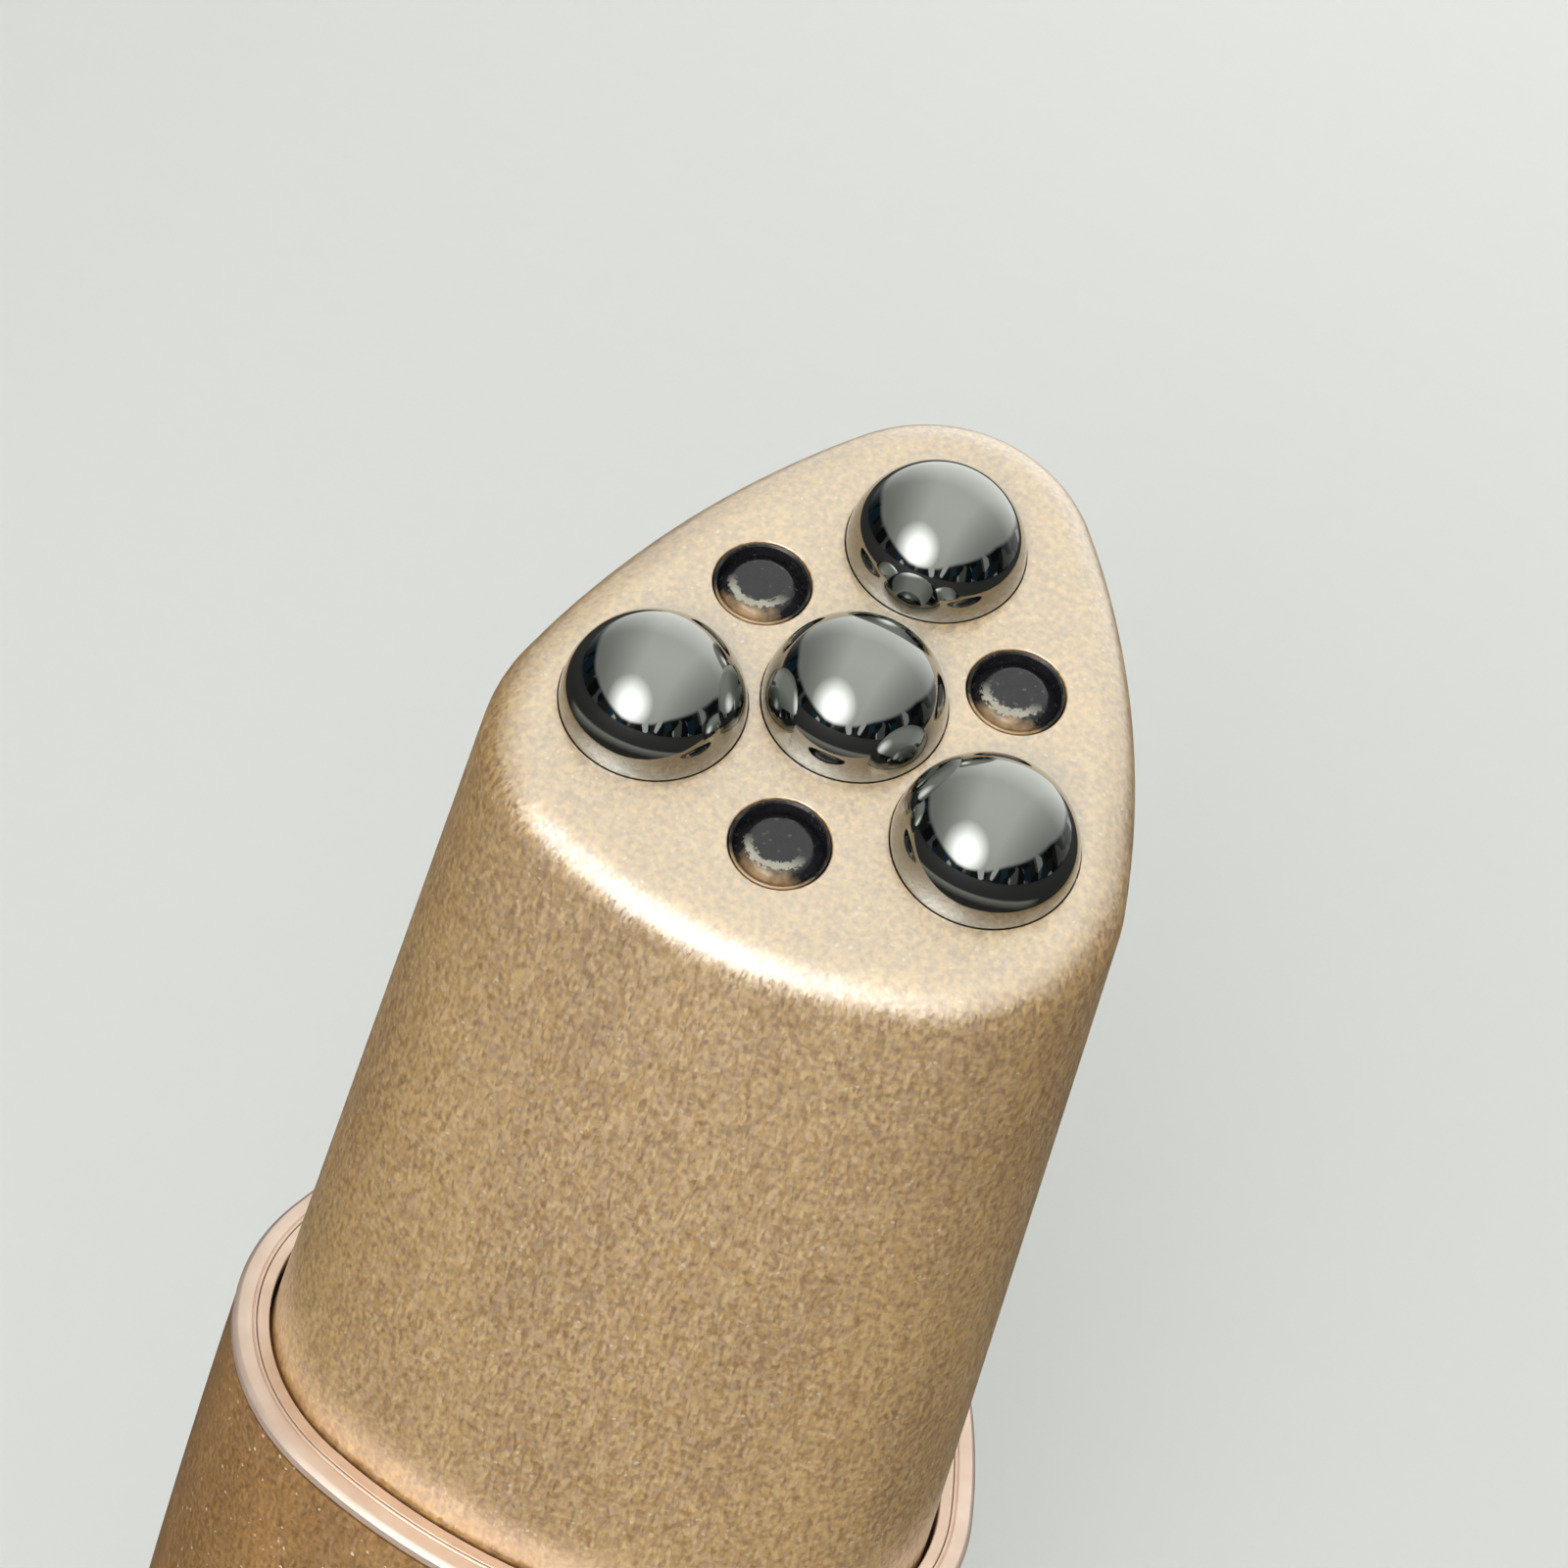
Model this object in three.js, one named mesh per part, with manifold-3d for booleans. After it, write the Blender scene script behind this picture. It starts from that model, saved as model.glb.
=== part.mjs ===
// Eye beauty device: a lipstick-shaped massager for the skin round the eyes.
// A drafted head of rounded-triangle section ends in a slanted face with four steel domes and three
// light windows. It stands in a bellied handle that holds a battery, a main board and a vibration motor.
// Millimetres, +Z from the flat base to the head, -Y to the front, where the button and the face are.
import * as THREE from "three";
import { mergeVertices } from "three/addons/utils/BufferGeometryUtils.js";
import Module from "manifold-3d";

const wasm = await Module();
wasm.setup();

const degrees = Math.PI / 180;

// Steel domes: one in the middle of the face, and three round it, set by the gaps between their rims
const DOME_RADIUS = 3;
const DOME_RIM_ANGLE = 86 * degrees;
const DOME_SEAT_DEPTH = 0.4;
const DOME_SEAM = 0.14;
const DOME_STEM_RADIUS = 1.1;
const SIDE_DOME_GAP = 0.4;
const SIDE_DOME_ANGLE = 27 * degrees;
const BACK_DOME_GAP = 0.8;
const CLIP_THICKNESS = 0.5;
const CLIP_WIDTH = 1;
const CONTACT_LENGTH = 1.8;

// Light windows, set by their gaps to the middle dome, and the lights behind them
const LIGHT_HOLE_RADIUS = 1.63;
const LIGHT_HOLE_ROUND = 0.25;
const SIDE_LIGHT_GAP = 0.65;
const SIDE_LIGHT_ANGLE = 32 * degrees;
const FRONT_LIGHT_GAP = 1.2;
const WINDOW_RECESS = 0.55;
const WINDOW_FLANGE = 0.55;
const WINDOW_THICKNESS = 0.5;
const LIGHT_RADIUS = 1.5;
const LIGHT_FLANGE = 0.25;

// Section: a rounded triangle with two front corners, one back corner and bowed sides.
// Its corners stand a little inside the outer domes, and its rim is the margin round them.
const RIM_MARGIN = 2.75;
const FRONT_CORNER_INSET_X = 1.01;
const FRONT_CORNER_INSET_Y = 0.05;
const BACK_CORNER_OUTSET = 0.88;
const FRONT_BOW = 0.81;
const SIDE_BOW = 0.66;

// Head and face
const HEAD_REACH = 30.5;
const HEAD_DRAFT = 4.35 * degrees;
const FACE_SLANT = 23.8 * degrees;
const FACE_EDGE_RADIUS = 1.8;
const HEAD_WALL = 1.3;
const FACE_WALL = 2;
const HEAD_SINK = 1;
const NECK_LENGTH = 7;

// Head board on two pillars
const BOARD_THICKNESS = 1;
const BOARD_DEPTH = 6.5;
const PILLAR_RADIUS = 1.3;
const PILLAR_GAP = 0.2;
const PILLAR_FORWARD = 0.9;
const BOARD_SCREW_RADIUS = 0.5;
const BOARD_SCREW_LENGTH = 3;

// Collar: head gap, inner lip, trim ring and sleeve
const HEAD_GAP = 0.27;
const LIP_WIDTH = 0.27;
const RING_WIDTH = 0.84;
const RING_HEIGHT = 0.5;
const RING_CHAMFER = 0.17;
const RING_SKIRT_WALL = 0.3;
const RING_SKIRT_DEPTH = 2.5;
const HANDLE_BELLY = 1.5;
const GASKET_HEIGHT = 0.9;
const SLIP = 0.1;

// Chassis inside the handle
const CHASSIS_WALL = 1.3;
const BULKHEAD = 1.6;
const BAY_LENGTH = 11;
const BATTERY_RADIUS = 6.9;
const BATTERY_LENGTH = 48;
const BATTERY_GAP = 1.7;
const BATTERY_NUB_RADIUS = 2.6;
const BATTERY_NUB_HEIGHT = 1;
const CRADLE_COUNT = 3;

// Main board in the handle, with chips placed and sized by shares of the board
const MAIN_BOARD_WIDTH = 18;
const MAIN_BOARD_FRONT_Y = -4.2;
const CHIP_HEIGHT = 0.9;
const CHIPS = {
  charger: { across_share: 0.02, up_share: 0.24, side_share: 0.3 },
  driver: { across_share: -0.26, up_share: 0.42, side_share: 0.2 },
  controller: { across_share: 0.06, up_share: 0.58, side_share: 0.38 },
};

// Vibration motor
const MOTOR_Y = 2;
const MOTOR_RADIUS = 3.5;
const MOTOR_LENGTH = 12;
const MOTOR_BOOT_WALL = 1.2;
const MOTOR_SHAFT_RADIUS = 0.6;
const MOTOR_SHAFT_SUNK = 4;
const RUNNING_FIT = 0.05;
const WEIGHT_RADIUS = 3.4;
const WEIGHT_LENGTH = 4;
const WEIGHT_HUB_RADIUS = 1.5;

// Power button, its trim and its switch
const BUTTON_BELOW_COLLAR = 32;
const BUTTON_RADIUS = 5;
const BUTTON_PROUD = 0.7;
const BUTTON_TRAVEL = 0.5;
const BUTTON_GAP = 0.15;
const BUTTON_LIP = 0.75;
const BEZEL_WIDTH = 0.9;
const BEZEL_PROUD = 0.25;
const BEZEL_FLANGE = 0.9;
const BEZEL_FLANGE_THICKNESS = 0.5;
const BUTTON_POST_RADIUS = 1.6;
const SWITCH_SIZE = 6;
const SWITCH_HEIGHT = 3.5;
const PLUNGER_RADIUS = 1.7;
const PLUNGER_PROUD = 0.8;
const PLUNGER_SUNK = 1.4;

// Three level lights over the button
const LEVEL_LIGHT_COUNT = 3;
const LEVEL_LIGHT_PITCH = 2.6;
const LEVEL_LIGHT_RADIUS = 0.6;
const LEVEL_BAR_WIDTH = 2.4;
const LEVEL_BAR_THICKNESS = 0.9;

// Base with the charging inlet
const BASE_THICKNESS = 2.4;
const BASE_EDGE_RADIUS = 1.2;
const BASE_SPIGOT = 1.2;
const INLET_WIDTH = 8.9;
const INLET_HEIGHT = 3.3;
const INLET_WALL = 0.3;
const INLET_DEPTH = 7.3;
const INLET_RECESS = 0.5;
const INLET_CLEARANCE = 0.2;
const TONGUE_WIDTH = 6.7;
const TONGUE_THICKNESS = 0.7;
const TONGUE_LENGTH = 5;

// Screws along the handle: two up into the head, two up into the chassis
const SCREW_RADIUS = 1;
const SCREW_HEAD_RADIUS = 1.7;
const SCREW_HEAD_HEIGHT = 1.2;
const SCREW_LENGTH = 7;
const COLUMN_WALL = 0.9;

// Flat cable between the boards
const STRIP_WIDTH = 5;
const STRIP_THICKNESS = 0.3;
const STRIP_ABOVE_SWITCH = 1.5;

// Facets of round stretches
const SIDE_STEPS = 3;
const CORNER_STEPS = 8;
const EDGE_STEPS = 4;
const DOME_STEPS = 7;
const TURN_STEPS = 24;
const SMALL_TURN_STEPS = 12;
const BELLY_STEPS = 6;
const OVERRUN = 1;
const MERGE_DISTANCE = 0.0005;

// Heights along the handle, stacked from the base up
const baseRingZ = BASE_THICKNESS + SLIP;
const sleeveBottomZ = baseRingZ + RING_HEIGHT + SLIP;
const chassisBottomZ = BASE_THICKNESS + BASE_SPIGOT + SLIP;
const batteryBottomZ = chassisBottomZ + 2 * BULKHEAD + SCREW_HEAD_HEIGHT;
const batteryTopZ = batteryBottomZ + BATTERY_LENGTH;
const batteryStopZ = batteryTopZ + BATTERY_NUB_HEIGHT + SLIP;
const motorBottomZ = batteryStopZ + BULKHEAD + BAY_LENGTH;
const motorTopZ = motorBottomZ + MOTOR_LENGTH;
const mainBoardTopZ = motorBottomZ - 2 * SLIP;
const upperBulkheadZ = motorTopZ - BULKHEAD;
const neckBottomZ = motorTopZ + SLIP;
const stepZ = neckBottomZ + NECK_LENGTH;
const shoulderZ = stepZ - GASKET_HEIGHT - 2 * SLIP;
const collarZ = stepZ + HEAD_SINK;
const sleeveTopZ = collarZ - RING_HEIGHT - SLIP;
const faceZ = collarZ + HEAD_REACH;
const buttonZ = collarZ - BUTTON_BELOW_COLLAR;

// Places on the face, across and up from its centre
const polar = (reach, angle) => [reach * Math.cos(angle), reach * Math.sin(angle)];
const [sideDomeX, sideDomeY] = polar(2 * DOME_RADIUS + SIDE_DOME_GAP, -SIDE_DOME_ANGLE);
const backDomeY = 2 * DOME_RADIUS + BACK_DOME_GAP;
const [sideLightX, sideLightY] = polar(DOME_RADIUS + LIGHT_HOLE_RADIUS + SIDE_LIGHT_GAP, SIDE_LIGHT_ANGLE);
const frontLightY = -(DOME_RADIUS + LIGHT_HOLE_RADIUS + FRONT_LIGHT_GAP);
const pillarX = LIGHT_HOLE_RADIUS + WINDOW_FLANGE + PILLAR_GAP + PILLAR_RADIUS;
const pillarY = frontLightY - PILLAR_FORWARD;
const domePlaces = {
  centre: [0, 0],
  left: [-sideDomeX, sideDomeY],
  right: [sideDomeX, sideDomeY],
  back: [0, backDomeY],
};
const lightPlaces = {
  left: [-sideLightX, sideLightY],
  right: [sideLightX, sideLightY],
  front: [0, frontLightY],
};
const pillarPlaces = {
  left: [-pillarX, pillarY],
  right: [pillarX, pillarY],
};

// Corners of the section, seen from above
const frontCornerX = sideDomeX - FRONT_CORNER_INSET_X;
const frontCornerY = sideDomeY * Math.cos(FACE_SLANT) + FRONT_CORNER_INSET_Y;
const backCornerY = backDomeY * Math.cos(FACE_SLANT) + BACK_CORNER_OUTSET;
const sectionFrontY = frontCornerY - FRONT_BOW;
// The section's front and back end up level with the origin's two sides, so the part stands centred.
const sectionMiddleY = (sectionFrontY + backCornerY) / 2;

// Corner radii of the nested walls, from the head outwards and inwards
const headRadiusAt = (z) => DOME_RADIUS + RIM_MARGIN + Math.tan(HEAD_DRAFT) * (faceZ - z);
const lipInnerRadius = headRadiusAt(collarZ) + HEAD_GAP;
const lipOuterRadius = lipInnerRadius + LIP_WIDTH;
const ringInnerRadius = lipOuterRadius + SLIP;
const ringOuterRadius = ringInnerRadius + RING_WIDTH;
const chassisInnerRadius = lipOuterRadius - CHASSIS_WALL;
const neckRadius = chassisInnerRadius - SLIP;
const sleeveInnerFrontY = sectionFrontY - ringInnerRadius;

const finishes = {
  gold: { color: 0xc79f78, roughness: 0.38, metalness: 0.85 },
  roseGold: { color: 0xd9a98f, roughness: 0.3, metalness: 0.9 },
  steel: { color: 0xc9cbcc, roughness: 0.05, metalness: 1 },
  smoked: { color: 0x2a2624, roughness: 0.15, metalness: 0 },
  clear: { color: 0xe9e6df, roughness: 0.1, metalness: 0 },
  blackRubber: { color: 0x1b1a19, roughness: 0.8, metalness: 0 },
  whitePlastic: { color: 0xe4e1db, roughness: 0.5, metalness: 0 },
  blackPlastic: { color: 0x222222, roughness: 0.5, metalness: 0 },
  board: { color: 0x1f5d3a, roughness: 0.5, metalness: 0 },
  cell: { color: 0x3f6fa8, roughness: 0.4, metalness: 0.1 },
  cable: { color: 0xb8742a, roughness: 0.45, metalness: 0.1 },
  brass: { color: 0xc9a24a, roughness: 0.35, metalness: 0.9 },
};

// Solids

function toSolid(geometry) {
  const bare = geometry.clone();
  bare.deleteAttribute("normal");
  bare.deleteAttribute("uv");
  const merged = mergeVertices(bare, MERGE_DISTANCE);
  const mesh = new wasm.Mesh({
    numProp: 3,
    vertProperties: merged.attributes.position.array,
    triVerts: new Uint32Array(merged.index.array),
  });
  return new wasm.Manifold(mesh);
}

function toGeometry(solid) {
  const mesh = solid.getMesh();
  const geometry = new THREE.BufferGeometry();
  geometry.setAttribute("position", new THREE.BufferAttribute(mesh.vertProperties, 3));
  geometry.setIndex(new THREE.BufferAttribute(mesh.triVerts, 1));
  return geometry;
}

function combine(operation, geometries) {
  const [first, ...others] = geometries.map(toSolid);
  const result = others.reduce((solid, other) => solid[operation](other), first);
  return toGeometry(result);
}

const join = (...geometries) => combine("add", geometries);
const cut = (...geometries) => combine("subtract", geometries);
const overlap = (...geometries) => combine("intersect", geometries);

const at = (x, y, z) => new THREE.Vector3(x, y, z);

// Section outline

// Each side is an arc that bows out between two corner centres, given counter-clockwise from above.
function sectionSides() {
  const corners = [
    new THREE.Vector2(-frontCornerX, frontCornerY),
    new THREE.Vector2(frontCornerX, frontCornerY),
    new THREE.Vector2(0, backCornerY),
  ];
  const bows = [FRONT_BOW, SIDE_BOW, SIDE_BOW];
  return corners.map((start, i) => {
    const end = corners[(i + 1) % corners.length];
    const chord = end.clone().sub(start);
    const halfChord = chord.length() / 2;
    const arcRadius = (halfChord ** 2 + bows[i] ** 2) / (2 * bows[i]);
    const outward = new THREE.Vector2(chord.y, -chord.x).normalize();
    const centre = start.clone().add(end).multiplyScalar(0.5);
    centre.addScaledVector(outward, bows[i] - arcRadius);
    return { end, centre, arcRadius, angle: outward.angle(), halfFan: Math.asin(halfChord / arcRadius) };
  });
}

function ray(centre, reach, angle) {
  const out = new THREE.Vector2(Math.cos(angle), Math.sin(angle));
  return { out, foot: centre.clone().addScaledVector(out, reach) };
}

// Rays stand square on the outline all round: a point of any parallel outline is foot + radius * out.
function outlineRays() {
  const rays = [];
  const sides = sectionSides();
  sides.forEach((side, i) => {
    const next = sides[(i + 1) % sides.length];
    for (let step = 0; step <= SIDE_STEPS; step++) {
      const angle = side.angle + side.halfFan * ((2 * step) / SIDE_STEPS - 1);
      rays.push(ray(side.centre, side.arcRadius, angle));
    }
    const start = side.angle + side.halfFan;
    const turn = THREE.MathUtils.euclideanModulo(next.angle - next.halfFan - start, 2 * Math.PI);
    for (let step = 1; step < CORNER_STEPS; step++) {
      rays.push(ray(side.end, 0, start + (turn * step) / CORNER_STEPS));
    }
  });
  return rays;
}

const outline = outlineRays();

function levelRing(radius, z) {
  return outline.map(({ foot, out }) => at(foot.x + out.x * radius, foot.y + out.y * radius, z));
}

// Lofts

function wallFaces(ringCount, pointCount, closed) {
  const faces = [];
  const bands = closed ? ringCount : ringCount - 1;
  for (let k = 0; k < bands; k++) {
    const low = k * pointCount;
    const high = ((k + 1) % ringCount) * pointCount;
    for (let i = 0; i < pointCount; i++) {
      const j = (i + 1) % pointCount;
      faces.push(low + i, low + j, high + j, low + i, high + j, high + i);
    }
  }
  return faces;
}

function middleOf(ring) {
  return ring.reduce((sum, point) => sum.add(point), new THREE.Vector3()).divideScalar(ring.length);
}

// Rings of matching points, from the bottom to the top, make one body with flat ends.
function loft(rings) {
  const count = outline.length;
  const last = (rings.length - 1) * count;
  const points = [...rings.flat(), middleOf(rings[0]), middleOf(rings.at(-1))];
  const faces = wallFaces(rings.length, count, false);
  const bottom = points.length - 2;
  const top = points.length - 1;
  for (let i = 0; i < count; i++) {
    const j = (i + 1) % count;
    faces.push(bottom, j, i, top, last + i, last + j);
  }
  return new THREE.BufferGeometry().setFromPoints(points).setIndex(faces);
}

// A closed profile of [corner radius, z], outer wall upwards, swept round the section like a lathe's.
function sweepRound(profile) {
  const rings = profile.map(([radius, z]) => levelRing(radius, z));
  const faces = wallFaces(rings.length, outline.length, true);
  return new THREE.BufferGeometry().setFromPoints(rings.flat()).setIndex(faces);
}

const sectionPrism = (radius, fromZ, toZ) => loft([levelRing(radius, fromZ), levelRing(radius, toZ)]);

// Round and square basics

function turned(profile, steps = TURN_STEPS) {
  const points = profile.map(([radius, z]) => new THREE.Vector2(radius, z));
  return new THREE.LatheGeometry(points, steps).rotateX(Math.PI / 2);
}

function rod(radius, fromZ, toZ, steps = SMALL_TURN_STEPS) {
  const length = toZ - fromZ;
  const cylinder = new THREE.CylinderGeometry(radius, radius, length, steps);
  return cylinder.rotateX(Math.PI / 2).translate(0, 0, fromZ + length / 2);
}

function tube(innerRadius, outerRadius, fromZ, toZ, steps = TURN_STEPS) {
  const profile = [
    [innerRadius, fromZ],
    [outerRadius, fromZ],
    [outerRadius, toZ],
    [innerRadius, toZ],
    [innerRadius, fromZ],
  ];
  return turned(profile, steps);
}

function block(from, to) {
  const size = to.clone().sub(from);
  const middle = from.clone().add(to).multiplyScalar(0.5);
  return new THREE.BoxGeometry(size.x, size.y, size.z).translate(middle.x, middle.y, middle.z);
}

function stadium(width, height) {
  const end = (width - height) / 2;
  const shape = new THREE.Shape();
  shape.absarc(end, 0, height / 2, -Math.PI / 2, Math.PI / 2);
  shape.absarc(-end, 0, height / 2, Math.PI / 2, (3 * Math.PI) / 2);
  return shape;
}

function prism(shape, fromZ, toZ) {
  const options = { depth: toZ - fromZ, bevelEnabled: false, curveSegments: SMALL_TURN_STEPS / 2 };
  return new THREE.ExtrudeGeometry(shape, options).translate(0, 0, fromZ);
}

// Turns a piece built along +Z so that its +Z end points to the front, and lifts it to a height.
const toFront = (geometry, height) => geometry.rotateX(Math.PI / 2).translate(0, 0, height);

// Head form

// The slanted, rounded top of the head, drawn in by inset at the sides and by drop under the face.
// A ball of the edge's radius rolls round the rim, so each fillet arc turns from wall to face.
function headForm(inset, drop, edge, floorZ) {
  const slope = Math.tan(HEAD_DRAFT);
  const normal = at(0, -Math.sin(FACE_SLANT), Math.cos(FACE_SLANT));
  const rimRadius = headRadiusAt(faceZ) - inset - edge / Math.cos(HEAD_DRAFT);
  const arcs = outline.map(({ foot, out }) => {
    const levelY = foot.y + rimRadius * out.y;
    const rise =
      (levelY * Math.sin(FACE_SLANT) - edge - drop) /
      (Math.cos(FACE_SLANT) + slope * out.y * Math.sin(FACE_SLANT));
    const reach = rimRadius - slope * rise;
    const centre = at(foot.x + out.x * reach, foot.y + out.y * reach, faceZ + rise);
    const wall = at(out.x, out.y, slope).normalize();
    return { centre, wall, turn: wall.angleTo(normal) };
  });
  const rings = [levelRing(headRadiusAt(floorZ) - inset, floorZ)];
  for (let step = 0; step <= EDGE_STEPS; step++) {
    rings.push(
      arcs.map(({ centre, wall, turn }) => {
        const part = step / EDGE_STEPS;
        const direction = at(0, 0, 0)
          .addScaledVector(wall, Math.sin(turn * (1 - part)))
          .addScaledVector(normal, Math.sin(turn * part))
          .divideScalar(Math.sin(turn));
        return direction.multiplyScalar(edge).add(centre);
      }),
    );
  }
  return rings;
}

const onFace = (geometry) => geometry.rotateX(FACE_SLANT).translate(0, 0, faceZ);

// Depths under the face
const windowTop = -WINDOW_RECESS;
const windowSeat = windowTop - WINDOW_THICKNESS;
const windowBottom = windowSeat - SLIP - WINDOW_FLANGE;
const clipTop = -FACE_WALL - SLIP;
const clipBottom = clipTop - CLIP_THICKNESS;
const boardTop = -BOARD_DEPTH;
const boardBottom = boardTop - BOARD_THICKNESS;
const stemBottom = boardTop + CONTACT_LENGTH + 2 * SLIP;
const lightTop = windowBottom - SLIP;

// A cutter for a bore whose mouth on the face is rounded over.
function roundedBore(radius, round, bottom) {
  const mouth = [];
  for (let step = 0; step <= EDGE_STEPS; step++) {
    const angle = (step / EDGE_STEPS) * (Math.PI / 2);
    mouth.push([radius + round * (1 - Math.cos(angle)), round * (Math.sin(angle) - 1)]);
  }
  const rim = radius + round;
  return turned([[0, bottom], [radius, bottom], ...mouth, [rim, OVERRUN], [0, OVERRUN]]);
}

function domeBore() {
  const seat = rod(DOME_RADIUS + DOME_SEAM, -DOME_SEAT_DEPTH, OVERRUN, TURN_STEPS);
  const bore = rod(DOME_STEM_RADIUS + SLIP, -FACE_WALL - OVERRUN, 0, TURN_STEPS);
  return join(seat, bore);
}

function lightBore() {
  const flangeRadius = LIGHT_HOLE_RADIUS + WINDOW_FLANGE;
  const well = roundedBore(LIGHT_HOLE_RADIUS, LIGHT_HOLE_ROUND, windowSeat - OVERRUN);
  return join(well, rod(flangeRadius, -BOARD_DEPTH, windowSeat, TURN_STEPS));
}

const columnX = frontCornerX + (neckRadius - HEAD_WALL) / Math.sqrt(2);
const columnRadius = SCREW_RADIUS + COLUMN_WALL;
const columnPlaces = { left: -columnX, right: columnX };
const headScrewZ = upperBulkheadZ - SLIP - SCREW_HEAD_HEIGHT;
const headScrewTopZ = headScrewZ + SCREW_HEAD_HEIGHT + SCREW_LENGTH;
const baseScrewZ = SCREW_HEAD_HEIGHT - SLIP;
const baseScrewTopZ = baseScrewZ + SCREW_HEAD_HEIGHT + SCREW_LENGTH;

function headShell() {
  const cavityFloorZ = stepZ + HEAD_WALL;
  const neckInside = neckRadius - HEAD_WALL;
  const outer = loft([
    levelRing(neckRadius, neckBottomZ),
    levelRing(neckRadius, stepZ),
    ...headForm(0, 0, FACE_EDGE_RADIUS, stepZ),
  ]);
  const cavity = loft([
    levelRing(neckInside, neckBottomZ - OVERRUN),
    levelRing(neckInside, cavityFloorZ),
    ...headForm(HEAD_WALL, FACE_WALL, FACE_EDGE_RADIUS / 2, cavityFloorZ),
  ]);
  const columns = Object.values(columnPlaces).map((x) => {
    const column = rod(columnRadius, neckBottomZ, headScrewTopZ + BULKHEAD).translate(x, frontCornerY, 0);
    return overlap(column, outer);
  });
  const pillars = Object.values(pillarPlaces).map(([x, y]) =>
    onFace(rod(PILLAR_RADIUS, boardTop + SLIP, -FACE_WALL / 2).translate(x, y, 0)),
  );
  const shell = join(cut(outer, cavity), ...columns, ...pillars);
  const cutters = [
    ...Object.values(domePlaces).map(([x, y]) => onFace(domeBore().translate(x, y, 0))),
    ...Object.values(lightPlaces).map(([x, y]) => onFace(lightBore().translate(x, y, 0))),
    ...Object.values(columnPlaces).map((x) =>
      rod(SCREW_RADIUS + SLIP, neckBottomZ - OVERRUN, headScrewTopZ + SLIP).translate(x, frontCornerY, 0),
    ),
    ...Object.values(pillarPlaces).map(([x, y]) => onFace(boardScrewHole().translate(x, y, 0))),
  ];
  return cut(shell, ...cutters);
}

// Domes, clips and contacts on the face

function electrodeDome() {
  const ballRadius = DOME_RADIUS / Math.sin(DOME_RIM_ANGLE);
  const ballZ = -ballRadius * Math.cos(DOME_RIM_ANGLE);
  const cap = [];
  for (let step = 0; step < DOME_STEPS; step++) {
    const angle = DOME_RIM_ANGLE * (1 - step / DOME_STEPS);
    cap.push([ballRadius * Math.sin(angle), ballZ + ballRadius * Math.cos(angle)]);
  }
  return turned([
    [0, stemBottom],
    [DOME_STEM_RADIUS, stemBottom],
    [DOME_STEM_RADIUS, SLIP - DOME_SEAT_DEPTH],
    [DOME_RADIUS, SLIP - DOME_SEAT_DEPTH],
    ...cap,
    [0, ballZ + ballRadius],
  ]);
}

function electrodeClip() {
  const bore = DOME_STEM_RADIUS + RUNNING_FIT;
  return tube(bore, DOME_STEM_RADIUS + CLIP_WIDTH, clipBottom, clipTop, SMALL_TURN_STEPS);
}

const contactPin = () => rod(DOME_STEM_RADIUS - SLIP, boardTop + SLIP, boardTop + SLIP + CONTACT_LENGTH);

// Light windows and lights

function lightWindow() {
  const radius = LIGHT_HOLE_RADIUS - RUNNING_FIT;
  const flangeRadius = radius + WINDOW_FLANGE;
  return turned([
    [0, windowBottom],
    [flangeRadius, windowBottom],
    [flangeRadius, windowSeat - SLIP],
    [radius, windowSeat - SLIP],
    [radius, windowTop],
    [0, windowTop],
  ]);
}

function light() {
  const domeZ = lightTop - LIGHT_RADIUS;
  const bottom = boardTop + SLIP;
  const cap = [];
  for (let step = 1; step < EDGE_STEPS; step++) {
    const angle = (step / EDGE_STEPS) * (Math.PI / 2);
    cap.push([LIGHT_RADIUS * Math.cos(angle), domeZ + LIGHT_RADIUS * Math.sin(angle)]);
  }
  const profile = [
    [0, bottom],
    [LIGHT_RADIUS + LIGHT_FLANGE, bottom],
    [LIGHT_RADIUS + LIGHT_FLANGE, bottom + LIGHT_FLANGE],
    [LIGHT_RADIUS, bottom + LIGHT_FLANGE],
    [LIGHT_RADIUS, domeZ],
    ...cap,
    [0, lightTop],
  ];
  return turned(profile, SMALL_TURN_STEPS);
}

// Head board

const boardScrewTop = boardBottom - SLIP + BOARD_SCREW_LENGTH;

const boardScrewHole = () => rod(BOARD_SCREW_RADIUS + SLIP, boardBottom - OVERRUN, boardScrewTop + SLIP);

function headBoard() {
  const span = 2 * headRadiusAt(stepZ) + backCornerY - sectionFrontY;
  const slab = onFace(block(at(-span, -span, boardBottom), at(span, span, boardTop)));
  const room = loft(headForm(HEAD_WALL + 2 * SLIP, FACE_WALL, FACE_EDGE_RADIUS / 2, stepZ + HEAD_WALL));
  const holes = Object.values(pillarPlaces).map(([x, y]) => onFace(boardScrewHole().translate(x, y, 0)));
  return cut(overlap(room, slab), ...holes);
}

function boardScrew() {
  const headBottom = boardBottom - SLIP - 2 * BOARD_SCREW_RADIUS;
  return join(
    rod(BOARD_SCREW_RADIUS, headBottom, boardScrewTop),
    rod(2 * BOARD_SCREW_RADIUS, headBottom, boardBottom - SLIP),
  );
}

// Collar, sleeve and base

// A trim ring: a flat outer face with a chamfer, and a thin skirt that plugs into the sleeve.
function trimProfile() {
  const skirtRadius = ringInnerRadius + RING_SKIRT_WALL;
  return [
    [ringInnerRadius, -RING_SKIRT_DEPTH],
    [skirtRadius, -RING_SKIRT_DEPTH],
    [skirtRadius, -RING_HEIGHT],
    [ringOuterRadius, -RING_HEIGHT],
    [ringOuterRadius, -RING_CHAMFER],
    [ringOuterRadius - RING_CHAMFER, 0],
    [ringInnerRadius, 0],
  ];
}

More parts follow.
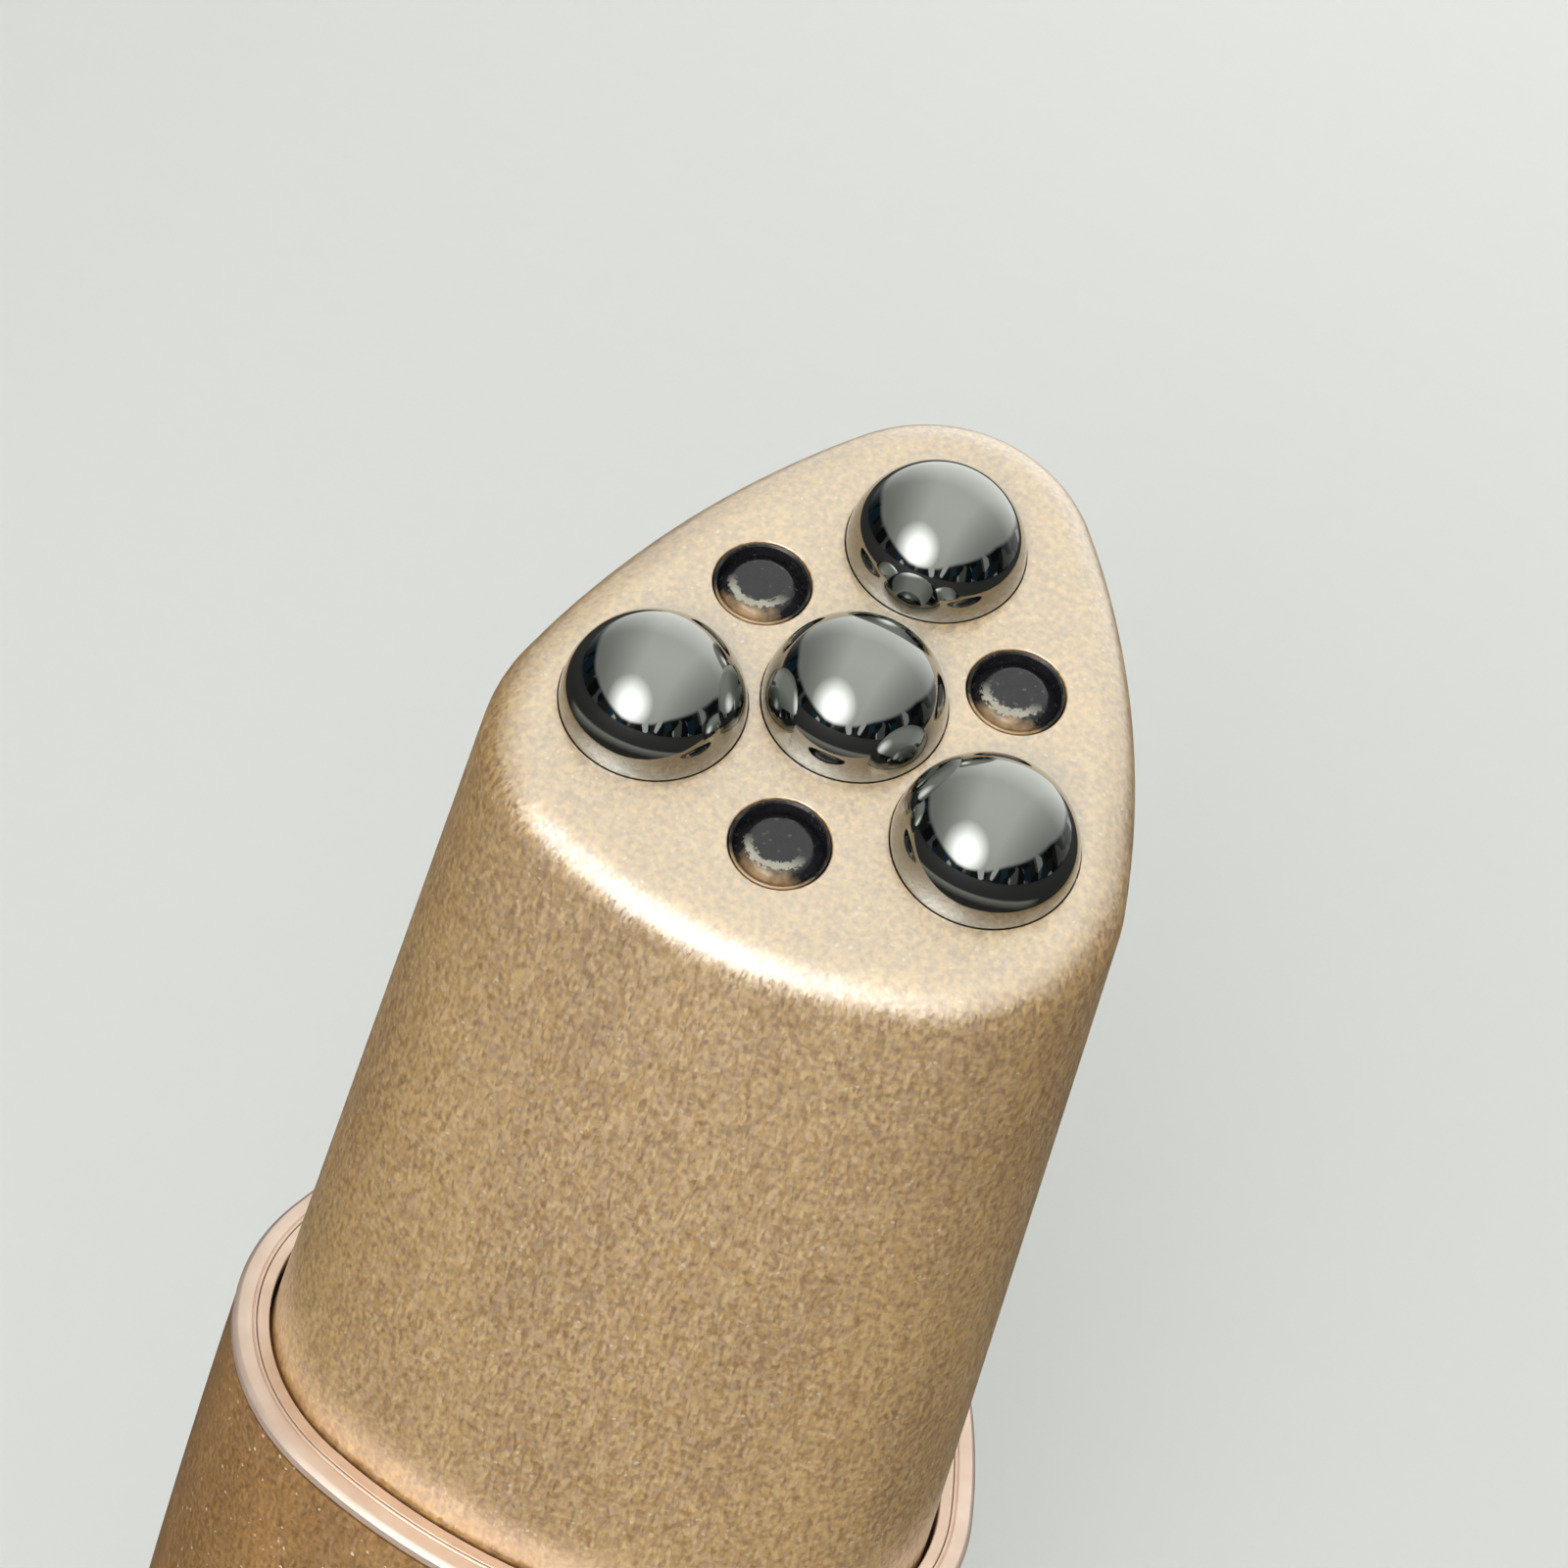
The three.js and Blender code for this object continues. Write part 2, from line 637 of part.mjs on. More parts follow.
const collarRing = () => sweepRound(trimProfile().map(([radius, z]) => [radius, collarZ + z]));

const baseRing = () => sweepRound(trimProfile().map(([radius, z]) => [radius, baseRingZ - z]).reverse());

const bellyAt = (share) => HANDLE_BELLY * 4 * share * (1 - share);

// The sleeve's outer wall, grown by a set amount, from its bottom to its top.
function sleeveRings(growth) {
  const rings = [];
  for (let step = 0; step <= BELLY_STEPS; step++) {
    const share = step / BELLY_STEPS;
    const z = THREE.MathUtils.lerp(sleeveBottomZ, sleeveTopZ, share);
    rings.push(levelRing(ringOuterRadius + bellyAt(share) + growth, z));
  }
  return rings;
}

const bezelRadius = BUTTON_RADIUS + BUTTON_GAP + BEZEL_WIDTH;
const frontReach = ringOuterRadius + HANDLE_BELLY - sectionFrontY + OVERRUN;
const levelLightZs = Array.from({ length: LEVEL_LIGHT_COUNT }, (_, i) => {
  return buttonZ + bezelRadius + BEZEL_FLANGE + (i + 1) * LEVEL_LIGHT_PITCH;
});
const windowTopZ = levelLightZs.at(-1) + LEVEL_BAR_WIDTH / 2 + BULKHEAD;

function sleeve() {
  const rebate = ringInnerRadius + RING_SKIRT_WALL + SLIP;
  const skirt = RING_SKIRT_DEPTH - RING_HEIGHT + SLIP;
  const bore = loft([
    levelRing(rebate, sleeveBottomZ - OVERRUN),
    levelRing(rebate, sleeveBottomZ + skirt),
    levelRing(ringInnerRadius, sleeveBottomZ + skirt),
    levelRing(ringInnerRadius, sleeveTopZ - skirt),
    levelRing(rebate, sleeveTopZ - skirt),
    levelRing(rebate, sleeveTopZ + OVERRUN),
  ]);
  const buttonHole = toFront(rod(bezelRadius + SLIP, 0, frontReach, TURN_STEPS), buttonZ);
  const lightHoles = levelLightZs.map((z) => toFront(rod(LEVEL_LIGHT_RADIUS + SLIP, 0, frontReach), z));
  return cut(loft(sleeveRings(0)), bore, buttonHole, ...lightHoles);
}

const inletY = MAIN_BOARD_FRONT_Y - SLIP - INLET_HEIGHT / 2;

function baseCap() {
  const rings = [];
  for (let step = 0; step <= EDGE_STEPS; step++) {
    const angle = (step / EDGE_STEPS) * (Math.PI / 2);
    const inset = BASE_EDGE_RADIUS * (1 - Math.sin(angle));
    rings.push(levelRing(ringOuterRadius - inset, BASE_EDGE_RADIUS * (1 - Math.cos(angle))));
  }
  rings.push(levelRing(ringOuterRadius, BASE_THICKNESS));
  const spigotRadius = ringInnerRadius - SLIP;
  rings.push(levelRing(spigotRadius, BASE_THICKNESS));
  rings.push(levelRing(spigotRadius, BASE_THICKNESS + BASE_SPIGOT));
  const slot = stadium(INLET_WIDTH + 2 * INLET_CLEARANCE, INLET_HEIGHT + 2 * INLET_CLEARANCE);
  const inlet = prism(slot, -OVERRUN, BASE_THICKNESS + BASE_SPIGOT + OVERRUN).translate(0, inletY, 0);
  const screwHoles = Object.values(columnPlaces).map((x) => {
    const shank = rod(SCREW_RADIUS + SLIP, -OVERRUN, BASE_THICKNESS + BASE_SPIGOT + OVERRUN);
    const head = rod(SCREW_HEAD_RADIUS + SLIP, -OVERRUN, 2 * SCREW_HEAD_HEIGHT);
    return join(shank, head).translate(x, 0, 0);
  });
  return cut(loft(rings), inlet, ...screwHoles);
}

function neckGasket() {
  const low = shoulderZ + SLIP;
  const high = low + GASKET_HEIGHT;
  return sweepRound([
    [neckRadius + SLIP, low],
    [lipInnerRadius - SLIP, low],
    [lipInnerRadius - SLIP, high],
    [neckRadius + SLIP, high],
  ]);
}

// Chassis: a lipped ring that takes the head's neck, over a half-open tray for the battery and boards

const bulkhead = (z) => sectionPrism(chassisInnerRadius + CHASSIS_WALL / 2, z, z + BULKHEAD);

function chassis() {
  const outer = sectionPrism(lipOuterRadius, chassisBottomZ, collarZ);
  const hollow = loft([
    levelRing(chassisInnerRadius, chassisBottomZ - OVERRUN),
    levelRing(chassisInnerRadius, shoulderZ),
    levelRing(lipInnerRadius, shoulderZ),
    levelRing(lipInnerRadius, collarZ + OVERRUN),
  ]);
  const cradleZs = Array.from({ length: CRADLE_COUNT }, (_, i) =>
    THREE.MathUtils.lerp(batteryBottomZ, batteryTopZ - BULKHEAD, (i + 0.5) / CRADLE_COUNT),
  );
  const plates = [
    bulkhead(chassisBottomZ),
    bulkhead(batteryBottomZ - SLIP - BULKHEAD),
    ...cradleZs.map(bulkhead),
    bulkhead(batteryStopZ),
    bulkhead(motorBottomZ),
    bulkhead(upperBulkheadZ),
  ];
  const columns = Object.values(columnPlaces).map((x) =>
    rod(columnRadius, chassisBottomZ, baseScrewTopZ + BULKHEAD).translate(x, 0, 0),
  );
  const body = join(cut(outer, hollow), ...plates, ...columns);
  return cut(body, ...chassisCutters());
}

function chassisCutters() {
  const wide = lipOuterRadius + frontCornerX + OVERRUN;
  const deep = lipOuterRadius - sectionFrontY + OVERRUN;
  const boardBackY = MAIN_BOARD_FRONT_Y + BOARD_THICKNESS + SLIP;
  const frontWindow = block(at(-wide, -deep, chassisBottomZ + BULKHEAD), at(wide, boardBackY, windowTopZ));
  const boardSlot = block(
    at(-MAIN_BOARD_WIDTH / 2 - SLIP, MAIN_BOARD_FRONT_Y - SLIP, chassisBottomZ - OVERRUN),
    at(MAIN_BOARD_WIDTH / 2 + SLIP, boardBackY, chassisBottomZ + BULKHEAD + OVERRUN),
  );
  const notchX = INLET_WIDTH / 2 + INLET_CLEARANCE;
  const inletNotch = block(
    at(-notchX, inletY - INLET_HEIGHT / 2 - INLET_CLEARANCE, chassisBottomZ - OVERRUN),
    at(notchX, boardBackY, chassisBottomZ + BULKHEAD + OVERRUN),
  );
  const stripSlot = block(
    at(-STRIP_WIDTH / 2 - SLIP, stripY - STRIP_THICKNESS, motorBottomZ - OVERRUN),
    at(STRIP_WIDTH / 2 + SLIP, stripY + STRIP_THICKNESS, upperBulkheadZ + BULKHEAD + OVERRUN),
  );
  const battery = rod(BATTERY_RADIUS + SLIP, batteryBottomZ - SLIP, batteryStopZ, TURN_STEPS);
  const motorRadius = MOTOR_RADIUS + SLIP + MOTOR_BOOT_WALL + SLIP;
  const motor = rod(motorRadius, motorBottomZ - OVERRUN, neckBottomZ, TURN_STEPS);
  const headHoles = Object.values(columnPlaces).map((x) => {
    const shank = rod(SCREW_RADIUS + SLIP, upperBulkheadZ - OVERRUN, neckBottomZ);
    return shank.translate(x, frontCornerY, 0);
  });
  const baseHoles = Object.values(columnPlaces).map((x) =>
    rod(SCREW_RADIUS + SLIP, chassisBottomZ - OVERRUN, baseScrewTopZ + SLIP).translate(x, 0, 0),
  );
  return [
    frontWindow,
    boardSlot,
    inletNotch,
    stripSlot,
    battery.translate(0, batteryY, 0),
    motor.translate(0, MOTOR_Y, 0),
    ...headHoles,
    ...baseHoles,
  ];
}

// A screw along the handle: a shank with a round head under it, standing on the origin
function uprightScrew() {
  const head = rod(SCREW_HEAD_RADIUS, 0, SCREW_HEAD_HEIGHT);
  const shank = rod(SCREW_RADIUS, 0, SCREW_HEAD_HEIGHT + SCREW_LENGTH);
  return join(head, shank);
}

// Battery, boards and charging inlet

const batteryY = MAIN_BOARD_FRONT_Y + BOARD_THICKNESS + BATTERY_GAP + BATTERY_RADIUS;

function battery() {
  const body = rod(BATTERY_RADIUS, batteryBottomZ, batteryTopZ, TURN_STEPS);
  const nub = rod(BATTERY_NUB_RADIUS, batteryTopZ, batteryTopZ + BATTERY_NUB_HEIGHT, TURN_STEPS);
  return join(body, nub).translate(0, batteryY, 0);
}

const mainBoard = () =>
  block(
    at(-MAIN_BOARD_WIDTH / 2, MAIN_BOARD_FRONT_Y, chassisBottomZ),
    at(MAIN_BOARD_WIDTH / 2, MAIN_BOARD_FRONT_Y + BOARD_THICKNESS, mainBoardTopZ),
  );

// A square chip on the front of the main board; all three arguments are shares of the board's size.
function boardChip({ across_share, up_share, side_share }) {
  const front = MAIN_BOARD_FRONT_Y - SLIP;
  const half = (side_share * MAIN_BOARD_WIDTH) / 2;
  const x = across_share * MAIN_BOARD_WIDTH;
  const z = THREE.MathUtils.lerp(chassisBottomZ, mainBoardTopZ, up_share);
  return block(at(x - half, front - CHIP_HEIGHT, z - half), at(x + half, front, z + half));
}

function usbShell() {
  const outer = prism(stadium(INLET_WIDTH, INLET_HEIGHT), INLET_RECESS, INLET_RECESS + INLET_DEPTH);
  const inner = stadium(INLET_WIDTH - 2 * INLET_WALL, INLET_HEIGHT - 2 * INLET_WALL);
  const hollow = prism(inner, INLET_RECESS - OVERRUN, INLET_RECESS + INLET_DEPTH - INLET_WALL);
  return cut(outer, hollow).translate(0, inletY, 0);
}

function usbTongue() {
  const top = INLET_RECESS + INLET_DEPTH - INLET_WALL - SLIP;
  return block(
    at(-TONGUE_WIDTH / 2, inletY - TONGUE_THICKNESS / 2, top - TONGUE_LENGTH),
    at(TONGUE_WIDTH / 2, inletY + TONGUE_THICKNESS / 2, top),
  );
}

// Flat cable from the top of the main board, past the motor, to the underside of the head board

const stripY = MAIN_BOARD_FRONT_Y - SLIP - STRIP_THICKNESS;

function flexStrip() {
  const end = at(0, sideDomeY, boardBottom - SLIP).applyAxisAngle(at(1, 0, 0), FACE_SLANT);
  end.z += faceZ;
  const approach = at(0, 0, -BOARD_DEPTH).applyAxisAngle(at(1, 0, 0), FACE_SLANT).add(end);
  const route = new THREE.CatmullRomCurve3([
    at(0, stripY, buttonZ + SWITCH_SIZE / 2 + STRIP_ABOVE_SWITCH),
    at(0, stripY, motorBottomZ),
    at(0, stripY, neckBottomZ),
    at(0, stripY, collarZ),
    approach,
    end,
  ]);
  const section = new THREE.Shape();
  section.moveTo(-STRIP_THICKNESS / 2, -STRIP_WIDTH / 2);
  section.lineTo(STRIP_THICKNESS / 2, -STRIP_WIDTH / 2);
  section.lineTo(STRIP_THICKNESS / 2, STRIP_WIDTH / 2);
  section.lineTo(-STRIP_THICKNESS / 2, STRIP_WIDTH / 2);
  section.closePath();
  return new THREE.ExtrudeGeometry(section, { steps: 5 * EDGE_STEPS, extrudePath: route });
}

// Vibration motor with its rubber boot, shaft and half-round weight

const shaftTopZ = motorTopZ + SLIP + WEIGHT_LENGTH + SLIP;

function motorCan() {
  const can = rod(MOTOR_RADIUS, motorBottomZ, motorTopZ, TURN_STEPS);
  const boreBottomZ = motorTopZ - MOTOR_SHAFT_SUNK - SLIP;
  return cut(can, rod(MOTOR_SHAFT_RADIUS + RUNNING_FIT, boreBottomZ, motorTopZ + OVERRUN));
}

function motorBoot() {
  const inner = MOTOR_RADIUS + SLIP;
  return tube(inner, inner + MOTOR_BOOT_WALL, motorBottomZ - SLIP, motorTopZ);
}

const motorShaft = () => rod(MOTOR_SHAFT_RADIUS, motorTopZ - MOTOR_SHAFT_SUNK, shaftTopZ);

function eccentricWeight() {
  const low = motorTopZ + SLIP;
  const high = low + WEIGHT_LENGTH;
  const full = rod(WEIGHT_RADIUS, low, high, TURN_STEPS);
  const half = block(at(-WEIGHT_RADIUS, 0, low), at(WEIGHT_RADIUS, WEIGHT_RADIUS, high));
  const hub = rod(WEIGHT_HUB_RADIUS, low, high);
  const bore = rod(MOTOR_SHAFT_RADIUS + RUNNING_FIT, low - OVERRUN, high + OVERRUN);
  return cut(join(overlap(full, half), hub), bore);
}

// Power button: the cap and its trim follow the sleeve's curve, and the cap's post meets the switch

const bezelFlangeRadius = bezelRadius + BEZEL_FLANGE;
const frontWallRadius = sectionSides()[0].arcRadius + ringInnerRadius;
const frontWallSag = frontWallRadius - Math.sqrt(frontWallRadius ** 2 - bezelFlangeRadius ** 2);
const bezelBackDepth = -sleeveInnerFrontY - frontWallSag - SLIP - BEZEL_FLANGE_THICKNESS;
const flangeTopDepth = bezelBackDepth - SLIP;
const switchBackDepth = -MAIN_BOARD_FRONT_Y + SLIP;
const plungerRoom = BUTTON_LIP + BUTTON_TRAVEL + PLUNGER_PROUD + SLIP;
const switchFrontDepth = Math.min(switchBackDepth + SWITCH_HEIGHT, flangeTopDepth - plungerRoom);
const plungerTopDepth = switchFrontDepth + PLUNGER_PROUD;

// Solid bounded by the sleeve's outer wall grown outwards
const sleeveBlock = (growth) => loft(sleeveRings(growth));

function buttonBezel() {
  const inner = BUTTON_RADIUS + BUTTON_GAP;
  const barrel = tube(inner, bezelRadius, bezelBackDepth, frontReach);
  const flange = tube(inner, bezelFlangeRadius, bezelBackDepth, frontReach);
  const behindSleeve = sectionPrism(ringInnerRadius - SLIP, sleeveBottomZ, sleeveTopZ);
  return join(
    overlap(toFront(barrel, buttonZ), sleeveBlock(BEZEL_PROUD)),
    overlap(toFront(flange, buttonZ), behindSleeve),
  );
}

function powerButton() {
  const cap = rod(BUTTON_RADIUS, flangeTopDepth - BUTTON_LIP, frontReach, TURN_STEPS);
  const flange = rod(BUTTON_RADIUS + BUTTON_LIP, flangeTopDepth - BUTTON_LIP, flangeTopDepth, TURN_STEPS);
  const post = rod(BUTTON_POST_RADIUS, plungerTopDepth + SLIP, flangeTopDepth);
  return overlap(toFront(join(cap, flange, post), buttonZ), sleeveBlock(BUTTON_PROUD));
}

function tactSwitch() {
  const half = SWITCH_SIZE / 2;
  const body = block(at(-half, -half, switchBackDepth), at(half, half, switchFrontDepth));
  const wellDepth = switchFrontDepth - PLUNGER_SUNK - BUTTON_TRAVEL - SLIP;
  return toFront(cut(body, rod(PLUNGER_RADIUS + SLIP, wellDepth, frontReach)), buttonZ);
}

const switchPlunger = () =>
  toFront(rod(PLUNGER_RADIUS, switchFrontDepth - PLUNGER_SUNK, plungerTopDepth), buttonZ);

// Level lights: pins through the sleeve on one bar behind it
function indicatorGuide() {
  const barDepth = -sleeveInnerFrontY - 2 * SLIP;
  const half = LEVEL_BAR_WIDTH / 2;
  const bar = block(
    at(-half, -barDepth, levelLightZs[0] - half),
    at(half, LEVEL_BAR_THICKNESS - barDepth, levelLightZs.at(-1) + half),
  );
  const pins = levelLightZs.map((z) => toFront(rod(LEVEL_LIGHT_RADIUS, barDepth - SLIP, frontReach), z));
  return overlap(join(bar, ...pins), sleeveBlock(0));
}

// Assembly

function piece(parent, name, geometry, finish) {
  const mesh = new THREE.Mesh(geometry, new THREE.MeshStandardMaterial(finishes[finish]));
  mesh.name = name;
  parent.add(mesh);
  return mesh;
}

function faceAssembly() {
  const face = new THREE.Group();
  face.position.z = faceZ;
  face.rotation.x = FACE_SLANT;
  for (const [place, [x, y]] of Object.entries(domePlaces)) {
    piece(face, `electrode_dome_${place}`, electrodeDome(), "steel").position.set(x, y, 0);
    piece(face, `electrode_clip_${place}`, electrodeClip(), "steel").position.set(x, y, 0);
    piece(face, `contact_pin_${place}`, contactPin(), "brass").position.set(x, y, 0);
  }
  for (const [place, [x, y]] of Object.entries(lightPlaces)) {
    piece(face, `light_window_${place}`, lightWindow(), "smoked").position.set(x, y, 0);
    piece(face, `light_${place}`, light(), "clear").position.set(x, y, 0);
  }
  for (const [side, [x, y]] of Object.entries(pillarPlaces)) {
    piece(face, `board_screw_${side}`, boardScrew(), "steel").position.set(x, y, 0);
  }
  return face;
}

function headAssembly() {
  const head = new THREE.Group();
  head.add(faceAssembly());
  piece(head, "head_shell", headShell(), "gold");
  piece(head, "head_board", headBoard(), "board");
  piece(head, "neck_gasket", neckGasket(), "blackRubber");
  return head;
}

function handleAssembly() {
  const handle = new THREE.Group();
  piece(handle, "collar_ring", collarRing(), "roseGold");
  piece(handle, "sleeve", sleeve(), "gold");
  piece(handle, "chassis", chassis(), "roseGold");
  piece(handle, "base_ring", baseRing(), "roseGold");
  piece(handle, "base_cap", baseCap(), "gold");
  for (const [side, x] of Object.entries(columnPlaces)) {
    piece(handle, `base_screw_${side}`, uprightScrew(), "steel").position.set(x, 0, baseScrewZ);
    piece(handle, `head_screw_${side}`, uprightScrew(), "steel").position.set(x, frontCornerY, headScrewZ);
  }
  piece(handle, "battery", battery(), "cell");
  piece(handle, "main_board", mainBoard(), "board");
  for (const [name, place] of Object.entries(CHIPS)) {
    piece(handle, `${name}_chip`, boardChip(place), "blackPlastic");
  }
  piece(handle, "usb_shell", usbShell(), "steel");
  piece(handle, "usb_tongue", usbTongue(), "blackPlastic");
  piece(handle, "flex_strip", flexStrip(), "cable");
  piece(handle, "indicator_guide", indicatorGuide(), "clear");
  return handle;
}

function buttonAssembly() {
  const button = new THREE.Group();
  piece(button, "power_button", powerButton(), "gold");
  piece(button, "button_bezel", buttonBezel(), "roseGold");
  piece(button, "tact_switch", tactSwitch(), "blackPlastic");
  piece(button, "switch_plunger", switchPlunger(), "whitePlastic");
  return button;
}

function motorAssembly() {
  const motor = new THREE.Group();
  motor.position.y = MOTOR_Y;
  piece(motor, "motor_can", motorCan(), "steel");
  piece(motor, "motor_boot", motorBoot(), "blackRubber");
  piece(motor, "motor_shaft", motorShaft(), "steel");
  piece(motor, "eccentric_weight", eccentricWeight(), "brass");
  return motor;
}

const device = new THREE.Group();
device.position.y = -sectionMiddleY;
device.add(headAssembly(), handleAssembly(), buttonAssembly(), motorAssembly());

export default device;
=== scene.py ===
"""Looks of the eye beauty device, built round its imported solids.

The shapes are worked out in millimetres, with +Z along the handle towards the head and -Y to the
front, and become metres when they turn into Blender meshes.
"""

import logging
import math
from abc import ABC, abstractmethod
from dataclasses import dataclass, field
from enum import Enum
from functools import cached_property
from typing import Callable, Iterable, Sequence

import bmesh
import bpy
from mathutils import Matrix, Vector


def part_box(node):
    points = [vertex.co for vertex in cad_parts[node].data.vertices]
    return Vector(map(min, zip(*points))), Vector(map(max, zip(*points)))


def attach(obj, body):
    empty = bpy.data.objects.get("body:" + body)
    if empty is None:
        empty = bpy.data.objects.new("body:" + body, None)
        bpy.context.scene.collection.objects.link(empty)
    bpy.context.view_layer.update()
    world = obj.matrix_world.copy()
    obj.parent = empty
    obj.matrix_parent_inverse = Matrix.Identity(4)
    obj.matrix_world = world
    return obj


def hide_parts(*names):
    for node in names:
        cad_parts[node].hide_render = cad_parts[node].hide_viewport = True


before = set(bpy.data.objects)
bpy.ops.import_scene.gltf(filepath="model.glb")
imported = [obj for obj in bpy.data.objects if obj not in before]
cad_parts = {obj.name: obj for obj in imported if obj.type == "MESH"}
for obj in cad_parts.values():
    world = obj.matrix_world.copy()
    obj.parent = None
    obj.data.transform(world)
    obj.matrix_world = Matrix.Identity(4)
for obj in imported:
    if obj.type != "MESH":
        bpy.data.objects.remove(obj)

LOG = logging.getLogger("eye_device")
METRES = 0.001  # one millimetre
SHARP_TURN = math.radians(32)  # edges that turn by more than this stay sharp
WELD = 1e-5  # points closer than this become one, in millimetres
INNERMOST = 0.3  # share of a step that stays open in the middle of a flat end
ROUGH_BELOW = 0.08  # how far a marked surface gets glossier than its roughness
ROUGH_ABOVE = 0.1  # how far it gets duller

Ring = list[Vector]
Colour = tuple[float, float, float]
Profile = Sequence[tuple[float, float]]
Depth = Callable[[float, float], float]
Span = tuple[float, float, float, float]  # result at the start, result at the end, start and end
Socket = bpy.types.NodeSocket


class Side(Enum):
    """Left and right of the device, seen from the front."""

    LEFT = "left"
    RIGHT = "right"

    @property
    def sign(self) -> int:
        """-1 on the left and 1 on the right."""
        return 1 if self is Side.RIGHT else -1


class Blend(Enum):
    """How one solid is combined with another."""

    ADD = "UNION"
    CUT = "DIFFERENCE"


class Body(Enum):
    """Moving bodies that the pieces ride on."""

    HOUSING = "housing"
    BUTTON = "button"


def level(node: str, top: bool) -> float:
    """Height of a solid's top or bottom in millimetres.

    Args:
        node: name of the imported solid.
        top: whether its highest point is meant, and not its lowest.

    Returns:
        The height above the floor.
    """
    low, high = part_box(node)
    return (high if top else low).z / METRES


def span(node: str) -> tuple[float, float]:
    """Heights of a solid's bottom and top in millimetres."""
    return level(node, top=False), level(node, top=True)


def middle(node: str) -> Vector:
    """Middle of a solid's box in millimetres."""
    low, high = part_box(node)
    return (low + high) / 2 / METRES


def linear(red: int, green: int, blue: int) -> Colour:
    """Colour as a screen shows it, turned into the linear values that shaders take.

    Args:
        red: red from 0 to 255.
        green: green from 0 to 255.
        blue: blue from 0 to 255.

    Returns:
        The three linear values.
    """

    def one(value: int) -> float:
        """One channel's linear value."""
        share = value / 255
        return share / 12.92 if share <= 0.04045 else ((share + 0.055) / 1.055) ** 2.4

    return one(red), one(green), one(blue)


# Shapes


class Shape:
    """Points in millimetres and the faces between them."""

    def __init__(self, points: Iterable[Vector] = (), faces: Iterable[Sequence[int]] = ()) -> None:
        """Keep copies of the points and faces.

        Args:
            points: corners in millimetres.
            faces: corner numbers of each face.
        """
        self.points: list[Vector] = [Vector(point) for point in points]
        self.faces: list[tuple[int, ...]] = [tuple(face) for face in faces]

    @classmethod
    def skin(cls, rings: Sequence[Ring], closed: bool = False) -> "Shape":
        """Walls over rings of equal count, with flat ends unless the rings come round to the first.

        Args:
            rings: rings of matching points, in order.
            closed: whether the last ring joins the first.

        Returns:
            The closed shape.
        """
        count = len(rings[0])
        shape = cls([point for ring in rings for point in ring])
        bands = len(rings) if closed else len(rings) - 1
        for band in range(bands):
            low = band * count
            high = (band + 1) % len(rings) * count
            for i in range(count):
                j = (i + 1) % count
                shape.faces.append((low + i, low + j, high + j, high + i))
        if not closed:
            last = (len(rings) - 1) * count
            shape.faces.append(tuple(reversed(range(count))))
            shape.faces.append(tuple(range(last, last + count)))
        return shape

    @classmethod
    def turned(cls, profile: Profile, steps: int, closed: bool = False) -> "Shape":
        """A profile of (radius, height) turned about Z.

        Args:
            profile: points from bottom to top; an open profile starts and ends on the axis.
            steps: facets round the axis.
            closed: whether the profile is a loop clear of the axis.

        Returns:
            The closed shape.
        """
        return cls.turned_on([(radius, lambda x, y, z=z: z) for radius, z in profile], steps, closed)

    @classmethod
    def turned_on(
        cls, profile: Sequence[tuple[float, Depth]], steps: int, closed: bool = False
    ) -> "Shape":
        """A turned shape whose rings follow curved surfaces.

        Args:
            profile: (radius, height as a function of x and y) from bottom to top.
            steps: facets round the axis.
            closed: whether the profile is a loop clear of the axis.

        Returns:
            The closed shape.
        """
        turns = [2 * math.pi * step / steps for step in range(steps)]
        compass = [(math.cos(turn), math.sin(turn)) for turn in turns]
        shape = cls()
        rings: list[list[int]] = []
        for radius, height in profile:
            places = compass if radius > 0 else [(0.0, 0.0)]
            start = len(shape.points)
            for across, up in places:
                x, y = radius * across, radius * up
                shape.points.append(Vector((x, y, height(x, y))))
            rings.append(list(range(start, len(shape.points))))
        pairs = list(zip(rings, rings[1:]))
        if closed:
            pairs.append((rings[-1], rings[0]))
        for low, high in pairs:
            for i in range(steps):
                j = (i + 1) % steps
                corners = [low[i % len(low)], low[j % len(low)], high[j % len(high)], high[i % len(high)]]
                face = list(dict.fromkeys(corners))
                if len(face) > 2:
                    shape.faces.append(tuple(face))
        return shape

    @classmethod
    def rod(cls, radius: float, low: float, high: float, steps: int = 32) -> "Shape":
        """An upright cylinder.

        Args:
            radius: its radius.
            low: height of its foot.
            high: height of its top.
            steps: facets round it.

        Returns:
            The cylinder.
        """
        return cls.turned([(0, low), (radius, low), (radius, high), (0, high)], steps)

    @classmethod
    def block(cls, low: Sequence[float], high: Sequence[float]) -> "Shape":
        """A block between two opposite corners.

        Args:
            low: the corner with the lowest x, y and z.
            high: the opposite corner.

        Returns:
            The block.
        """
        (x0, y0, z0), (x1, y1, z1) = low, high
        return cls.upright([(x0, y0), (x1, y0), (x1, y1), (x0, y1)], z0, z1)

    @classmethod
    def upright(cls, plan: Profile, low: float, high: float) -> "Shape":
        """A straight solid with upright walls.

        Args:
            plan: points of (x, y) round its outline.
            low: height of its foot.
            high: height of its top.

        Returns:
            The solid.
        """
        return cls.skin([[Vector((x, y, z)) for x, y in plan] for z in (low, high)])

    def placed(self, matrix: Matrix) -> "Shape":
        """The shape moved and turned by a matrix."""
        return Shape([matrix @ point for point in self.points], self.faces)

    def shifted(self, x: float = 0, y: float = 0, z: float = 0) -> "Shape":
        """The shape moved along the axes."""
        return self.placed(Matrix.Translation((x, y, z)))

